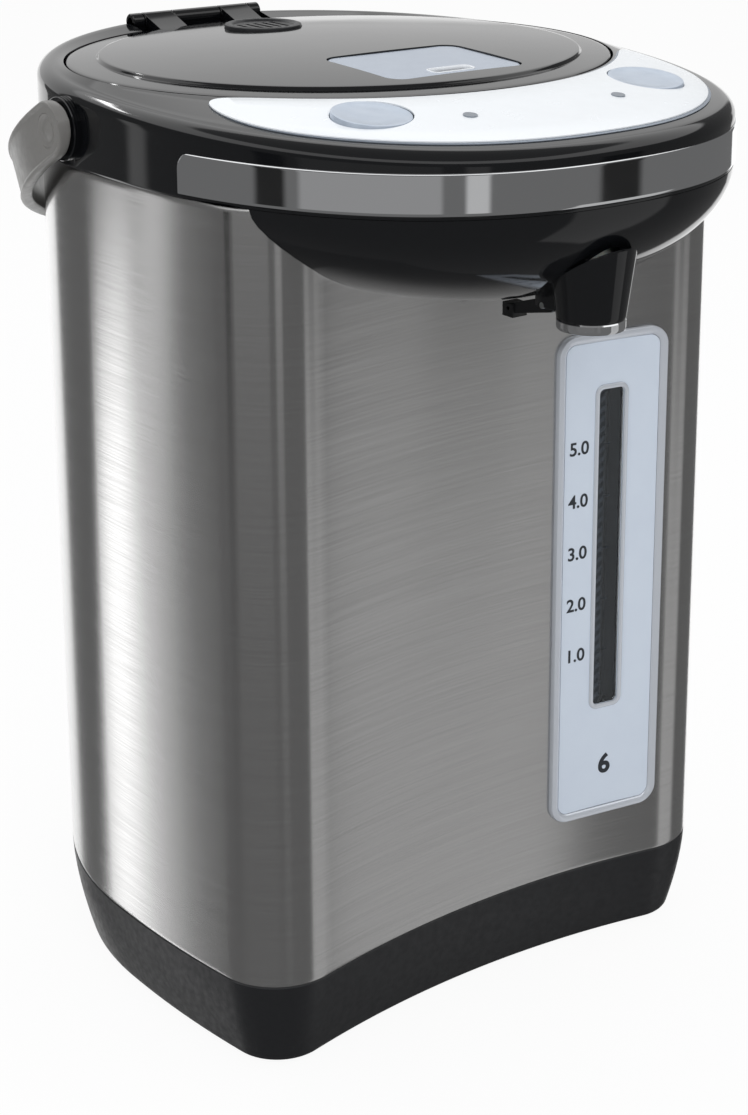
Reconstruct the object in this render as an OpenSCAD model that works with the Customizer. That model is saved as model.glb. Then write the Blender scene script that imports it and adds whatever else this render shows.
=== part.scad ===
// Electric thermo pot: a 6 litre insulated kettle with a steel casing, a round
// lid with a hand pump, and an electric pump that fills a cup from the beak.
// The pot faces -Y, its right side is +X, and it stands on z = 0.

/* [Casing] */
// Width of the steel casing at its widest line
body_w = 242; // [232:1:252]
// From the widest line to the back of the casing
body_back = 128; // [120:1:134]
// From the widest line to the chord of the front corners
body_front = 103; // [98:1:108]
// How far the front face bows inwards at its middle
front_bow = 15.6; // [10:0.2:18]
// Radius of the long curves of the sides
side_r = 463; // [400:1:560]
// Radius of the front corners
corner_r = 26; // [20:1:30]
// Height of the steel casing
casing_h = 300; // [285:1:315]
// Sheet thickness of the steel casing
casing_t = 1; // [0.8:0.1:1.4]

/* [Base] */
// Height of the base, with its feet
base_h = 37.5; // [34:0.5:42]
// Wall of the moulded base
base_t = 2.4; // [2:0.1:3]
// How far the base draws in at its bottom edge
base_inset = 6.6; // [5:0.1:8]
// Height of the rubber feet below the base
foot_h = 2; // [1.5:0.1:3]
// Radius of the rubber feet
foot_r = 9; // [7:0.5:11]

/* [Head] */
// Reach of the beak in front of the widest line
beak_reach = 160.7; // [152:0.1:168]
// Squareness of the beak's plan, where 2 is an ellipse
beak_power = 2.35; // [2.1:0.05:2.6]
// How far the head stands proud of the casing
head_proud = 1; // [0.5:0.1:1.5]
// Height of the rim above the casing, at the widest line
rim_h = 29; // [26:0.5:32]
// Rise of the rim towards the back, per millimetre
rim_slope = 0.04; // [0.02:0.005:0.05]
// Width of the rounded edge of the rim
rim_edge = 6.6; // [5:0.1:8]
// Wall of the moulded head
head_t = 2.4; // [2:0.1:3]
// Height of the chrome band
band_h = 14.8; // [12:0.2:17]
// How far the chrome band stands proud of the head
band_proud = 0.6; // [0.4:0.1:1]
// From the widest line forwards to the ends of the chrome band
band_end = 59; // [50:1:70]
// Depth of the beak's bowl below the casing's top
bowl_depth = 45; // [40:0.5:50]

/* [Lid] */
// From the side of the head to the lid
lid_side = 12.4; // [11:0.1:15]
// Half length of the lid
lid_b = 102.9; // [99:0.1:104]
// From the back of the head to the lid
lid_back = 17.3; // [16:0.1:19]
// Height of the lid's seam above the casing
seam_h = 31.6; // [30.6:0.1:33]
// Rise of the lid's dome above its seam
lid_rise = 5; // [4:0.25:7]
// Gap all round the lid
lid_gap = 0.8; // [0.6:0.1:1.2]
// Wall of the lid
lid_t = 2.6; // [2.2:0.1:3]
// Width of the press plate of the hand pump
press_w = 62; // [54:1:68]
// Length of the press plate
press_l = 48; // [42:1:52]
// Travel of the press plate
press_travel = 5; // [4:0.5:5.5]
// Width of the ledge round the vessel's mouth
mouth_ledge = 11.7; // [10:0.1:14]

/* [Vessel] */
// Outer radius of the inner vessel
vessel_r = 95; // [92:0.5:97]
// Wall of the inner vessel
vessel_t = 1; // [0.8:0.1:1.4]
// Height of the vessel's bottom above the ground
vessel_z = 105; // [100:1:110]
// From the widest line back to the vessel's centre
vessel_y = 16; // [14:0.5:19]

/* [Gauge] */
// Width of the gauge plate
gauge_w = 50; // [46:0.5:54]
// Height of the gauge plate
gauge_h = 206.5; // [200:0.5:212]
// Height of the gauge plate's lower edge above the casing's
gauge_z = 23.8; // [20:0.2:28]
// Offset of the gauge plate from the middle of the front
gauge_x = 57; // [54:0.5:60]
// Width of the frame round the gauge plate
frame_w = 3.6; // [3:0.1:5]
// Width of the sight window
window_w = 11.4; // [10:0.2:13]
// Height of the sight window
window_h = 134; // [128:1:140]
// Height of the window's lower edge above the casing's
window_z = 73.2; // [70:0.2:76]
// Radius of the sight tube
tube_r = 6; // [5:0.25:6.5]

/* [Spout] */
// Inset of the spout from the tip of the beak
spout_inset = 16.2; // [15:0.1:18]
// From the casing's top down to the spout's mouth
spout_drop = 47.5; // [45:0.5:50]
// Radius of the spout at its chrome ring
spout_r = 12.5; // [12:0.1:13.5]
// Radius of the spout's hood at its top
hood_r = 16.4; // [15.5:0.1:17]

/* [Controls] */
// Radius of the two round buttons
button_r = 14.5; // [13:0.1:15.5]
// Place of the buttons round the deck, where 90 is the tip of the beak
button_turn = 57; // [53:1:60]
// Place of the indicator lamps round the deck
lamp_turn = 74; // [70:1:78]
// Place of the ends of the control panel round the deck
panel_turn = 27; // [22:1:32]
// Travel of the buttons
button_travel = 1.5; // [1:0.1:2]

/* [Handle] */
// Clearance of the resting grip behind the casing
handle_gap = 1.7; // [1:0.1:3]
// Thickness of the handle
handle_t = 5; // [4.6:0.2:6]
// Width of the handle's arms at the pivots
handle_w = 22; // [20:0.5:24]
// Width of the handle at its grip
grip_w = 19; // [16:0.5:20]
// From the widest line back to the pivots
pivot_y = 12; // [8:0.5:16]
// Height of the pivots above the casing
pivot_h = 14.5; // [13:0.5:15.5]
// Angle of the handle below level when it rests
handle_drop = 26.5; // [24:0.5:30]

/* [Hidden] */
$fn = 48;

// ---- heights that the pieces share ----
top_z = base_h + casing_h;            // top of the steel casing
seam_z = top_z + seam_h;              // seam between the lid and the deck
pivot_z = top_z + pivot_h;
head_w2 = body_w / 2 + head_proud;    // half width of the head
head_back = body_back + head_proud;
lid_a = head_w2 - lid_side;           // half width of the lid
lid_y = head_back - lid_back - lid_b; // centre of the lid
vessel_top = top_z + 4;               // underside of the vessel's flange
mouth_r = lid_b - (vessel_y - lid_y) - mouth_ledge;
spout_y = -(beak_reach - spout_inset);
spout_z = top_z - spout_drop;         // height of the spout's mouth
hinge_y = head_back - lid_back + 7.3; // axis of the lid's hinge
hinge_z = seam_z + 2.4;
handle_reach = handle_t
    + (body_back + handle_gap - pivot_y + grip_w / 2 * sin(handle_drop)) / cos(handle_drop);
grip_y = pivot_y + handle_reach * cos(handle_drop) + grip_w / 2 * sin(handle_drop);
origin_y = (grip_y - beak_reach - band_proud) / 2;
fit = 0.05;                           // radial clearance of a running pin
slack = 0.4;                          // gap between pieces that only pass each other

// ---- plan outlines ----
// Centres of the side curve, the corner and the front curve of the casing.
side_c = [body_w / 2 - side_r, 0];
chord_x = side_c.x + sqrt(side_r * side_r - body_front * body_front);
front_r = (chord_x * chord_x + front_bow * front_bow) / (2 * front_bow);
front_c = [0, -body_front + front_bow - front_r];
front_y = front_c.y + front_r;        // the front face at its middle
apart = norm(front_c - side_c);
toward = (front_c - side_c) / apart;
corner_a = (pow(side_r - corner_r, 2) - pow(front_r + corner_r, 2) + apart * apart) / (2 * apart);
corner_h = sqrt(pow(side_r - corner_r, 2) - corner_a * corner_a);
corner_c = side_c + corner_a * toward + corner_h * [-toward.y, toward.x];
corner_start = atan2(corner_c.y - side_c.y, corner_c.x - side_c.x);
corner_end = atan2(front_c.y - corner_c.y, front_c.x - corner_c.x);
front_start = corner_end + 180;

function arc(c, r, a0, a1, n) = [for (k = [0:n]) let (a = a0 + (a1 - a0) * k / n) c + r * [cos(a), sin(a)]];
function tail(list) = [for (k = [1:len(list) - 1]) list[k]];
function mirrored(half) = [for (k = [len(half) - 2:-1:1]) [-half[k].x, half[k].y]];
// Right half of the casing's outline, from its back to its front, drawn in by i.
function body_half(i) = concat(
    [for (k = [0:16]) [(body_w / 2 - i) * sin(90 * k / 16), (body_back - i) * cos(90 * k / 16)]],
    tail(arc(side_c, side_r - i, 0, corner_start, 6)),
    tail(arc(corner_c, corner_r - i, corner_start, corner_end, 8)),
    tail(arc(front_c, front_r + i, front_start, 90, 6)));
function body_pts(i) = let (h = body_half(i)) concat(h, mirrored(h));
// An oval with a rounded-square front: half width a, front and back lengths, centre line at y.
function oval_half(a, front, back, power, y) = concat(
    [for (k = [0:16]) [a * sin(90 * k / 16), y + back * cos(90 * k / 16)]],
    [for (k = [1:20]) let (t = 90 * k / 20)
        [a * pow(cos(t), 2 / power), y - front * pow(sin(t), 2 / power)]]);
function oval_pts(a, front, back, power, y) = let (h = oval_half(a, front, back, power, y))
    concat(h, mirrored(h));
function head_pts(i) = oval_pts(head_w2 - i, beak_reach - i, head_back - i, beak_power, 0);
function lid_pts(i) = oval_pts(lid_a - i, lid_b - i, lid_b - i, 2, lid_y);
function rim_z(y) = top_z + rim_h + rim_slope * y;
function lift(pts, z, slope = 0) = [for (p = pts) [p.x, p.y, z + slope * p.y]];
function round_rect(w, h, r) = concat(
    arc([w / 2 - r, h / 2 - r], r, 0, 90, 8), arc([r - w / 2, h / 2 - r], r, 90, 180, 8),
    arc([r - w / 2, r - h / 2], r, 180, 270, 8), arc([w / 2 - r, r - h / 2], r, 270, 360, 8));

// Point on the deck at an angle round it, from the lid's seam (u = 0) to the rim (u = 1).
function seam_at(turn) = [(lid_a + lid_gap) * cos(turn), lid_y - (lid_b + lid_gap) * sin(turn)];
function rim_at(turn) = [(head_w2 - rim_edge) * sign(cos(turn)) * pow(abs(cos(turn)), 2 / beak_power),
    -(beak_reach - rim_edge) * pow(sin(turn), 2 / beak_power)];
function deck(turn, u, up = 0) = let (a = seam_at(turn), b = rim_at(turn))
    [mix1(a.x, b.x, u), mix1(a.y, b.y, u), mix1(seam_z, rim_z(b.y), u) + up];
function mix1(a, b, u) = a * (1 - u) + b * u;
// A path with each of its corners rounded, starting c before the corner.
function unit(v) = v / norm(v);
function rounded(path, c) = let (m = len(path) - 1) concat([path[0]],
    [for (k = [1:m - 1]) let (a = path[k] - c * unit(path[k] - path[k - 1]),
        b = path[k] + c * unit(path[k + 1] - path[k]))
        for (j = [0:5]) let (u = j / 5) (1 - u) * (1 - u) * a + 2 * u * (1 - u) * path[k] + u * u * b],
    [path[m]]);
function ring_on(path, k, r, ref, n) = let (m = len(path) - 1,
    t = unit(path[min(k + 1, m)] - path[max(k - 1, 0)]), a = unit(cross(t, ref)), b = cross(t, a))
    [for (j = [0:n - 1]) path[k] + r * (cos(360 * j / n) * a - sin(360 * j / n) * b)];

// ---- drawing helpers ----
// A skin through a stack of rings of equal length; a closed one ends on its first ring.
module skin(rings, closed = false) {
    n = len(rings[0]);
    m = len(rings);
    sides = [for (r = [0:(closed ? m - 1 : m - 2)]) for (k = [0:n - 1])
        let (a = r * n + k, b = r * n + (k + 1) % n, up = ((r + 1) % m) * n, c = up + k, d = up + (k + 1) % n)
        each [[a, b, c], [b, d, c]]];
    ends = closed ? [] : [[for (k = [n - 1:-1:0]) k], [for (k = [0:n - 1]) (m - 1) * n + k]];
    polyhedron([for (r = rings) each r], concat(sides, ends));
}
module slab(pts, z0, z1) translate([0, 0, z0]) linear_extrude(z1 - z0) polygon(pts);
module drum(r, z0, z1, x = 0, y = 0) translate([x, y, z0]) cylinder(r = r, h = z1 - z0);
module pipe(r_out, r_in, z0, z1, x = 0, y = 0) difference() {
    drum(r_out, z0, z1, x, y);
    drum(r_in, z0 - 1, z1 + 1, x, y);
}
module box(x0, x1, y0, y1, z0, z1) translate([x0, y0, z0]) cube([x1 - x0, y1 - y0, z1 - z0]);
module bar(a, b, r) {
    v = b - a;
    translate(a) rotate([0, acos(v.z / norm(v)), atan2(v.y, v.x)]) cylinder(r = r, h = norm(v));
}
// A tube swept along a path: a skin out along the outer rings and back along the inner ones.
module tube(path, r_out, r_in, ref) skin(concat(
    [for (k = [0:len(path) - 1]) ring_on(path, k, r_out, ref, hose_sides)],
    [for (k = [len(path) - 1:-1:0]) ring_on(path, k, r_in, ref, hose_sides)]), closed = true);
module wire(path, r, ref) skin([for (k = [0:len(path) - 1]) ring_on(path, k, r, ref, 6)]);
module axle(r, x0, x1, y, z) translate([x0, y, z]) rotate([0, 90, 0]) cylinder(r = r, h = x1 - x0);
module place() translate([0, -origin_y, 0]) children();
module both_sides() for (side = [0, 1]) mirror([side, 0, 0]) children();
module at_posts() for (p = posts) translate([p.x, p.y, 0]) children();
module at_rods() for (p = rods) translate([p.x, p.y, 0]) children();
// A rounded plate standing across the front, its centre at x and z.
module front_prism(w, h, r, x, z) translate([x, 0, z]) rotate([90, 0, 0])
    linear_extrude(body_front + 20) polygon(round_rect(w, h, r));

// ---- places of the inner pieces ----
flange_t = 1;                          // rolled flange on top of the vessel
vessel_seal_h = 2.5;
mouth_t = 3;                           // floor of the mouth ring
mouth_floor = vessel_top + flange_t + vessel_seal_h + mouth_t;
collar_z = seam_z - 10;                // lower edge of the collar round the lid
lid_edge = seam_z - 8;                 // lower edge of the lid's skirt
core_top = seam_z - 7.5;               // plate inside the lid
core_t = 4;
plug_r = mouth_r - 4;                  // round plug below it
plug_z = mouth_floor + 1;
step_h = 1.2;                          // step round the raised middle of the lid
step_at = 0.885;
plate_top = foot_h + 2.5;              // top of the bottom plate
screw_r = 1.6;
lip_h = 6;                             // lip of the base, inside the casing
post_r = 5.5;                          // bosses in the base, for the screws and the tie rods
post_in = base_inset + base_t + 6;     // from the casing's outline to a boss
front_post = corner_c + 7 * [cos(45), -sin(45)];
rear_post = [(body_w / 2 - post_in) * cos(30), (body_back - post_in) * sin(30)];
posts = [front_post, rear_post, [-rear_post.x, rear_post.y], [-front_post.x, front_post.y]];
rod_r = 2;
rod_z = base_h - 18;
rod_at = [vessel_r + 7.7, vessel_y];   // rear rods, beside the vessel
rods = [front_post, rod_at, [-rod_at.x, rod_at.y], [-front_post.x, front_post.y]];
foot_in = base_inset + base_t + foot_r + 1.4;
rear_foot = [(body_w / 2 - foot_in) * cos(46), (body_back - foot_in) * sin(46)];
front_foot = corner_c + [-6, 4];
pump_x = 40;
pump_y = -38;
pump_r = 27;
pump_z = plate_top + 46;               // top of the motor
pump_h = 26;
nipple_r = 4;
nipple_l = 8;                          // of the sight tube's couplings
hose_r = 5.8;
hose_sides = 10;
hose_bore = nipple_r / cos(180 / hose_sides) + 0.02;   // its flats clear the nipples
shield_z = vessel_z - 14;              // heat shield below the heater
window_mid = base_h + window_z + window_h / 2;
gauge_mid = base_h + gauge_z + gauge_h / 2;
glass_y = front_c.y + sqrt(front_r * front_r - gauge_x * gauge_x);   // the front face at the gauge
tube_y = glass_y + casing_t + tube_r + 2;
tube_z0 = base_h + window_z - 13;
tube_z1 = top_z - 37.5;
hose_z = top_z - 21.5;                 // height of the outlet hose
outlet_dir = unit([gauge_x - pump_x, tube_y - pump_y, 0]);
pump_port = [pump_x, pump_y, pump_z + 12];
riser_path = [pump_port + (pump_r + 2) * outlet_dir, [gauge_x, tube_y, pump_port.z],
    [gauge_x, tube_y, tube_z0 - 4]];
outlet_path = [[gauge_x, tube_y, tube_z1 + 4], [gauge_x, tube_y, hose_z], [gauge_x, tube_y - 17, hose_z],
    [gauge_x / 2, (tube_y - 17 + spout_y) / 2, hose_z], [0, spout_y, hose_z], [0, spout_y, hose_z - 12]];
band_z0 = top_z + 1.4;
band_seat = 1.4;                       // depth of the chrome band's seat in the head
boss_r = 12;                           // bosses that carry the handle
boss_x = head_w2 + 3;
handle_x = head_w2 + 4 + handle_t;      // outer face of the handle's arms
handle_power = 1.9;
pivot_r = 4.5;
cap_r = 6.5;                           // caps over the pivots' heads
hinge_r = 4.6;
hinge_pin_r = 2;
press_y = lid_y - 54.8;                // middle of the press plate
press_t = 2;
press_tilt = 4;
bellows_y = press_y + 6;
bellows_r = 16;
bellows_z0 = plug_z + 3.5;
bellows_z1 = seam_z - 1.9;
stem_r = 3;
slot_w = 20;                           // finger slot in the press plate
slot_l = 7.6;
slot_y = press_y - 16.5;
latch_z = seam_z - 9.6;
latch_t = 2.5;
latch_w = 20;
catch_w = 80;                          // edge of the collar that the latch catches under
latch_axis = latch_z + latch_t / 2 + 0.2;   // of the latch's spring
latch_travel = 3;
latch_tip = lid_y - lid_b - lid_gap - head_t + 0.3;
latch_spring_y = latch_tip + 9;
vent_y = lid_y + 56;
vent_r = 16;
vent_seat = dome(0.7) - 0.3;           // flat seat in the lid's dome
vent_top = dome(0.38) + 1;
panel_in = 0.05;                       // edges of the panel, as parts of the deck's width
panel_out = 0.92;
panel_mid = 0.4;
panel_t = 0.6;
bezel_t = 0.4;
bezel_edge = 0.025;
button_at = deck(button_turn, panel_mid);
lamp_at = deck(lamp_turn, 0.46);
deck_tilt = atan((seam_z - rim_z(rim_at(button_turn).y)) / (seam_at(button_turn).y - rim_at(button_turn).y));
lamp_r = 2.6;
board_z = top_z + 8.5;
board_t = 1.6;
board_back = lid_y - lid_b + 19;       // rear edge of the board
spout_bore = spout_r - 2;
ring_h = 4;                            // of the spout's ring
neck_r = 14.3;                         // neck between the bowl and the hood
lever_y = spout_y + 20.3;              // pivot of the cup lever
lever_z = spout_z + 4.8;
lever_pin_r = 1.2;
lever_w = 5;
inlet_w = 40;                          // power inlet
inlet_h = 34;
inlet_z = base_h + lip_h + 1 + inlet_h / 2;

// ---- shapes that several pieces share ----
function base_ring(u, i) = lift(body_pts(i + base_inset * pow(1 - u, 1.6)), mix1(foot_h, base_h, u));
base_steps = [0, 0.12, 0.28, 0.48, 0.72, 1];
module base_outer() skin([for (u = base_steps) base_ring(u, 0)]);
// The beak's bowl: the head's outline drawn in towards a point as it goes down.
bowl_y = -92;
function bowl_ring(t, i) = let (k = pow(1 - pow(t, 1.9), 0.56))
    [for (p = head_pts(i)) [p.x * k, bowl_y + (p.y - bowl_y) * k, top_z - t * (bowl_depth - i)]];
bowl_steps = [0.99, 0.965, 0.92, 0.85, 0.75, 0.62, 0.47, 0.3, 0.14, 0];
module bowl(i) skin([for (t = bowl_steps) bowl_ring(t, i)]);
function lid_ring(s, i, z) = [for (p = lid_pts(i)) [p.x * s, lid_y + (p.y - lid_y) * s, z]];
function dome(s) = seam_z + (lid_rise - step_h) * (1 - pow(s, 2.2)) + (s < step_at ? step_h : 0);
dome_steps = [0.97, 0.93, 0.9, 0.88, 0.8, 0.66, 0.5, 0.34, 0.18, 0.05];
function rim_ring(a, i) = [for (p = head_pts(i + (rim_edge - i) * (1 - cos(a))))
    [p.x, p.y, rim_z(p.y) - i * sin(a) - (rim_edge - i) * (1 - sin(a)) * 0.8]];
// A strip that lies on the deck, between two parts of its width, with round ends.
function strip_ring(v, u0, u1, z0, z1) = let (w = max(0.3, pow(1 - pow(abs(v), 14), 0.5)), c = (u0 + u1) / 2,
    h = (u1 - u0) / 2 * w, turn = 90 + v * (90 - panel_turn))
    [deck(turn, c - h, z1), deck(turn, c + h, z1), deck(turn, c + h, z0), deck(turn, c - h, z0)];
strip_steps = [-1, -0.985, -0.96, -0.92, for (k = [-8:8]) k / 9.5, 0.92, 0.96, 0.985, 1];
module strip(u0, u1, z0, z1) skin([for (v = strip_steps) strip_ring(v, u0, u1, z0, z1)]);
module on_deck(p) translate(p) rotate([deck_tilt, 0, 0]) children();
module in_handle() translate([0, pivot_y, pivot_z]) rotate([-handle_drop, 0, 0]) children();

// ---- base ----
module base_shell() color("#242527") difference() {
    union() {
        difference() {
            base_outer();
            skin([for (u = concat([-0.05], base_steps)) base_ring(u, base_t)]);
        }
        difference() {
            slab(body_pts(casing_t + slack), base_h - base_t, base_h + lip_h);
            slab(body_pts(casing_t + slack + base_t), base_h - base_t - 1, base_h + lip_h + 1);
        }
        intersection() {
            base_outer();
            union() {
                at_posts() drum(post_r, plate_top, base_h - 10);
                at_rods() drum(rod_r + 2.4, rod_z - 4, base_h - 10);
                for (p = concat(posts, rods)) let (wall = sign(p.x) * body_w / 2)
                    box(min(p.x, wall), max(p.x, wall), p.y - 1.5, p.y + 1.5, rod_z - 4, base_h - 12);
            }
        }
    }
    at_posts() drum(screw_r, plate_top - 1, plate_top + 11);
    at_rods() drum(rod_r, rod_z, base_h);
}
module bottom_plate() color("#1f2022") difference() {
    slab(body_pts(base_inset + base_t + slack), foot_h, plate_top);
    at_posts() drum(screw_r, foot_h - 1, plate_top + 1);
    at_posts() drum(screw_r * 2.2, foot_h - 1, foot_h + 1.4);
}
module rubber_feet() color("#18181a") both_sides() {
    drum(foot_r, 0, foot_h, rear_foot.x, rear_foot.y);
    drum(foot_r, 0, foot_h, front_foot.x, front_foot.y);
}
module bottom_screws() color("silver") at_posts() {
    drum(screw_r * 2, foot_h, foot_h + 1.4);
    drum(screw_r, foot_h + 1.4, plate_top + 10);
}
module tie_rods() color("silver") at_rods() drum(rod_r, rod_z, vessel_top - 1);

// ---- casing and gauge ----
module steel_casing() color("#c3c7cb") difference() {
    slab(body_pts(0), base_h, top_z);
    slab(body_pts(casing_t), base_h - 1, top_z + 1);
    box(gauge_x - window_w / 2 - 2, gauge_x + window_w / 2 + 2, glass_y - 6, glass_y + 8,
        window_mid - window_h / 2 - 4, window_mid + window_h / 2 + 4);
    box(gauge_x - 7, gauge_x + 7, glass_y - 6, glass_y + 8, hose_z - 9, hose_z + 8);
    box(-inlet_w / 2 - 1, inlet_w / 2 + 1, body_back - 20, body_back + 2,
        inlet_z - inlet_h / 2 - 1, inlet_z + inlet_h / 2 + 1);
}
module gauge_frame() color("#8d96a3") intersection() {
    difference() {
        slab(body_pts(-2.2), base_h, top_z);
        slab(body_pts(0), base_h - 1, top_z + 1);
    }
    difference() {
        front_prism(gauge_w, gauge_h, 8, gauge_x, gauge_mid);
        front_prism(gauge_w - 2 * frame_w, gauge_h - 2 * frame_w, 8 - frame_w, gauge_x, gauge_mid);
    }
}
module gauge_plate() color("#b8c2d0") intersection() {
    difference() {
        slab(body_pts(-1.4), base_h, top_z);
        slab(body_pts(0), base_h - 1, top_z + 1);
    }
    difference() {
        front_prism(gauge_w - 2 * frame_w, gauge_h - 2 * frame_w, 8 - frame_w, gauge_x, gauge_mid);
        front_prism(window_w, window_h, 2, gauge_x, window_mid);
    }
}
module gauge_window() color("#3a4048") intersection() {
    difference() {
        slab(body_pts(-1.1), base_h, top_z);
        slab(body_pts(0), base_h - 1, top_z + 1);
    }
    front_prism(window_w, window_h, 2, gauge_x, window_mid);
}
module gauge_backing() color("white") difference() {
    box(gauge_x - tube_r - 3.2, gauge_x + tube_r + 3.2, tube_y - tube_r, tube_y + tube_r + 1.8,
        window_mid - window_h / 2 - 2, window_mid + window_h / 2 + 2);
    box(gauge_x - tube_r - 2, gauge_x + tube_r + 2, glass_y - 5, tube_y + tube_r + 0.6, base_h, top_z);
}
module sight_tube() color("#dfe8ee") pipe(tube_r, tube_r - 1.2, tube_z0, tube_z1, gauge_x, tube_y);
module coupling() difference() {
    union() {
        drum(tube_r + 1.6, -3, 9, gauge_x, tube_y);
        drum(nipple_r, -nipple_l, -3, gauge_x, tube_y);
    }
    drum(tube_r, 0, 10, gauge_x, tube_y);
    drum(nipple_r - 1.2, -nipple_l - 1, 1, gauge_x, tube_y);
}
module tube_couplings() color("#d8d5cc") {
    translate([0, 0, tube_z0]) coupling();
    translate([0, 0, tube_z1]) mirror([0, 0, 1]) coupling();
}

// ---- pump and hoses ----
module pump_motor() color("#9a9da1") difference() {
    drum(19, plate_top, pump_z, pump_x, pump_y);
    drum(1.5 + fit, pump_z - 12, pump_z + 1, pump_x, pump_y);
}
module pump_body() color("#e6e2d8") difference() {
    union() {
        drum(pump_r, pump_z, pump_z + pump_h, pump_x, pump_y);
        drum(nipple_r, pump_z + pump_h, pump_z + pump_h + 8, pump_x, pump_y);
        bar(pump_port + (pump_r - 3) * outlet_dir, pump_port + (pump_r + 9) * outlet_dir, nipple_r);
    }
    drum(pump_r - 5, pump_z + 3, pump_z + 20, pump_x, pump_y);
    drum(nipple_r - 1.2, pump_z + 19, pump_z + pump_h + 9, pump_x, pump_y);
    drum(1.5 + fit, pump_z - 1, pump_z + 4, pump_x, pump_y);
    bar(pump_port, pump_port + (pump_r + 10) * outlet_dir, nipple_r - 1.2);
}
module pump_impeller() color("#4a4d52") translate([pump_x, pump_y, pump_z]) {
    drum(1.5, -10, 5);
    drum(pump_r - 8, 5, 7);
    drum(4, 7, 16);
    for (k = [0:5]) rotate(60 * k) box(3, pump_r - 8.5, -1, 1, 7, 16);
}
module inlet_hose() color("#c9d3d6")
    pipe(hose_r, nipple_r, pump_z + pump_h + 2, vessel_z - 4, pump_x, pump_y);
module riser_hose() color("#c9d3d6")
    tube(rounded(riser_path, 8), hose_r, hose_bore,
    [outlet_dir.y, -outlet_dir.x, 0]);
module outlet_hose() color("#c9d3d6") tube(rounded(outlet_path, 8), hose_r, hose_bore, [1, -1, 0]);

// ---- vessel and heater ----
module inner_vessel() color("#b9bdc1") difference() {
    union() {
        drum(vessel_r, vessel_z, vessel_top + flange_t, 0, vessel_y);
        drum(vessel_r + 4, vessel_top, vessel_top + flange_t, 0, vessel_y);
        drum(nipple_r, vessel_z - 11, vessel_z, pump_x, pump_y);
    }
    drum(vessel_r - vessel_t, vessel_z + vessel_t, vessel_top + flange_t + 1, 0, vessel_y);
    drum(nipple_r - 1.2, vessel_z - 12, vessel_z + 2, pump_x, pump_y);
}
module strainer() color("#a9adb1") difference() {
    drum(9, vessel_z + vessel_t, vessel_z + vessel_t + 7, pump_x, pump_y);
    drum(8, vessel_z, vessel_z + vessel_t + 6, pump_x, pump_y);
    for (k = [0:7]) translate([pump_x, pump_y, vessel_z + vessel_t + 3])
        rotate([90, 0, 45 * k]) cylinder(r = 1.3, h = 12);
}
module vessel_seal() color("#e8e4dc")
    pipe(vessel_r + 2, vessel_r - 9, vessel_top + flange_t, mouth_floor - mouth_t, 0, vessel_y);
module heater_plate() color("#8c8f94") drum(58, vessel_z - 7.5, vessel_z, 0, vessel_y);
module thermostats() color("#d9d4c6")
    for (x = [-28, 26]) drum(8, vessel_z - 12.5, vessel_z - 7.5, x, vessel_y + 10);
module heat_shield() color("#b4b8bc") difference() {
    drum(vessel_r - 1, shield_z, vessel_z, 0, vessel_y);
    drum(vessel_r - 2.2, shield_z + 1.2, vessel_z + 1, 0, vessel_y);
    drum(hose_r + 1, shield_z - 1, shield_z + 3, pump_x, pump_y);
}
module keep_warm_band() color("#a58f6b")
    pipe(vessel_r + 1.3, vessel_r + fit, vessel_z + 15, vessel_z + 45, 0, vessel_y);

// ---- power inlet ----
module power_inlet() color("#1d1e20") difference() {
    union() {
        box(-inlet_w / 2, inlet_w / 2, body_back - 20, body_back + 1,
            inlet_z - inlet_h / 2, inlet_z + inlet_h / 2);
        translate([0, body_back + 2, inlet_z]) rotate([90, 0, 0])
            linear_extrude(2) polygon(round_rect(inlet_w + 6, inlet_h + 3, 5));
    }
    box(-13, 13, body_back - 14, body_back + 3, inlet_z - 9, inlet_z + 9);
    for (x = [-7, 7]) translate([x, body_back, inlet_z]) rotate([90, 0, 0]) cylinder(r = 2, h = 30);
}
module inlet_pins() color("silver")
    for (x = [-7, 7]) translate([x, body_back - 5, inlet_z]) rotate([90, 0, 0]) cylinder(r = 2, h = 17);

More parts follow.
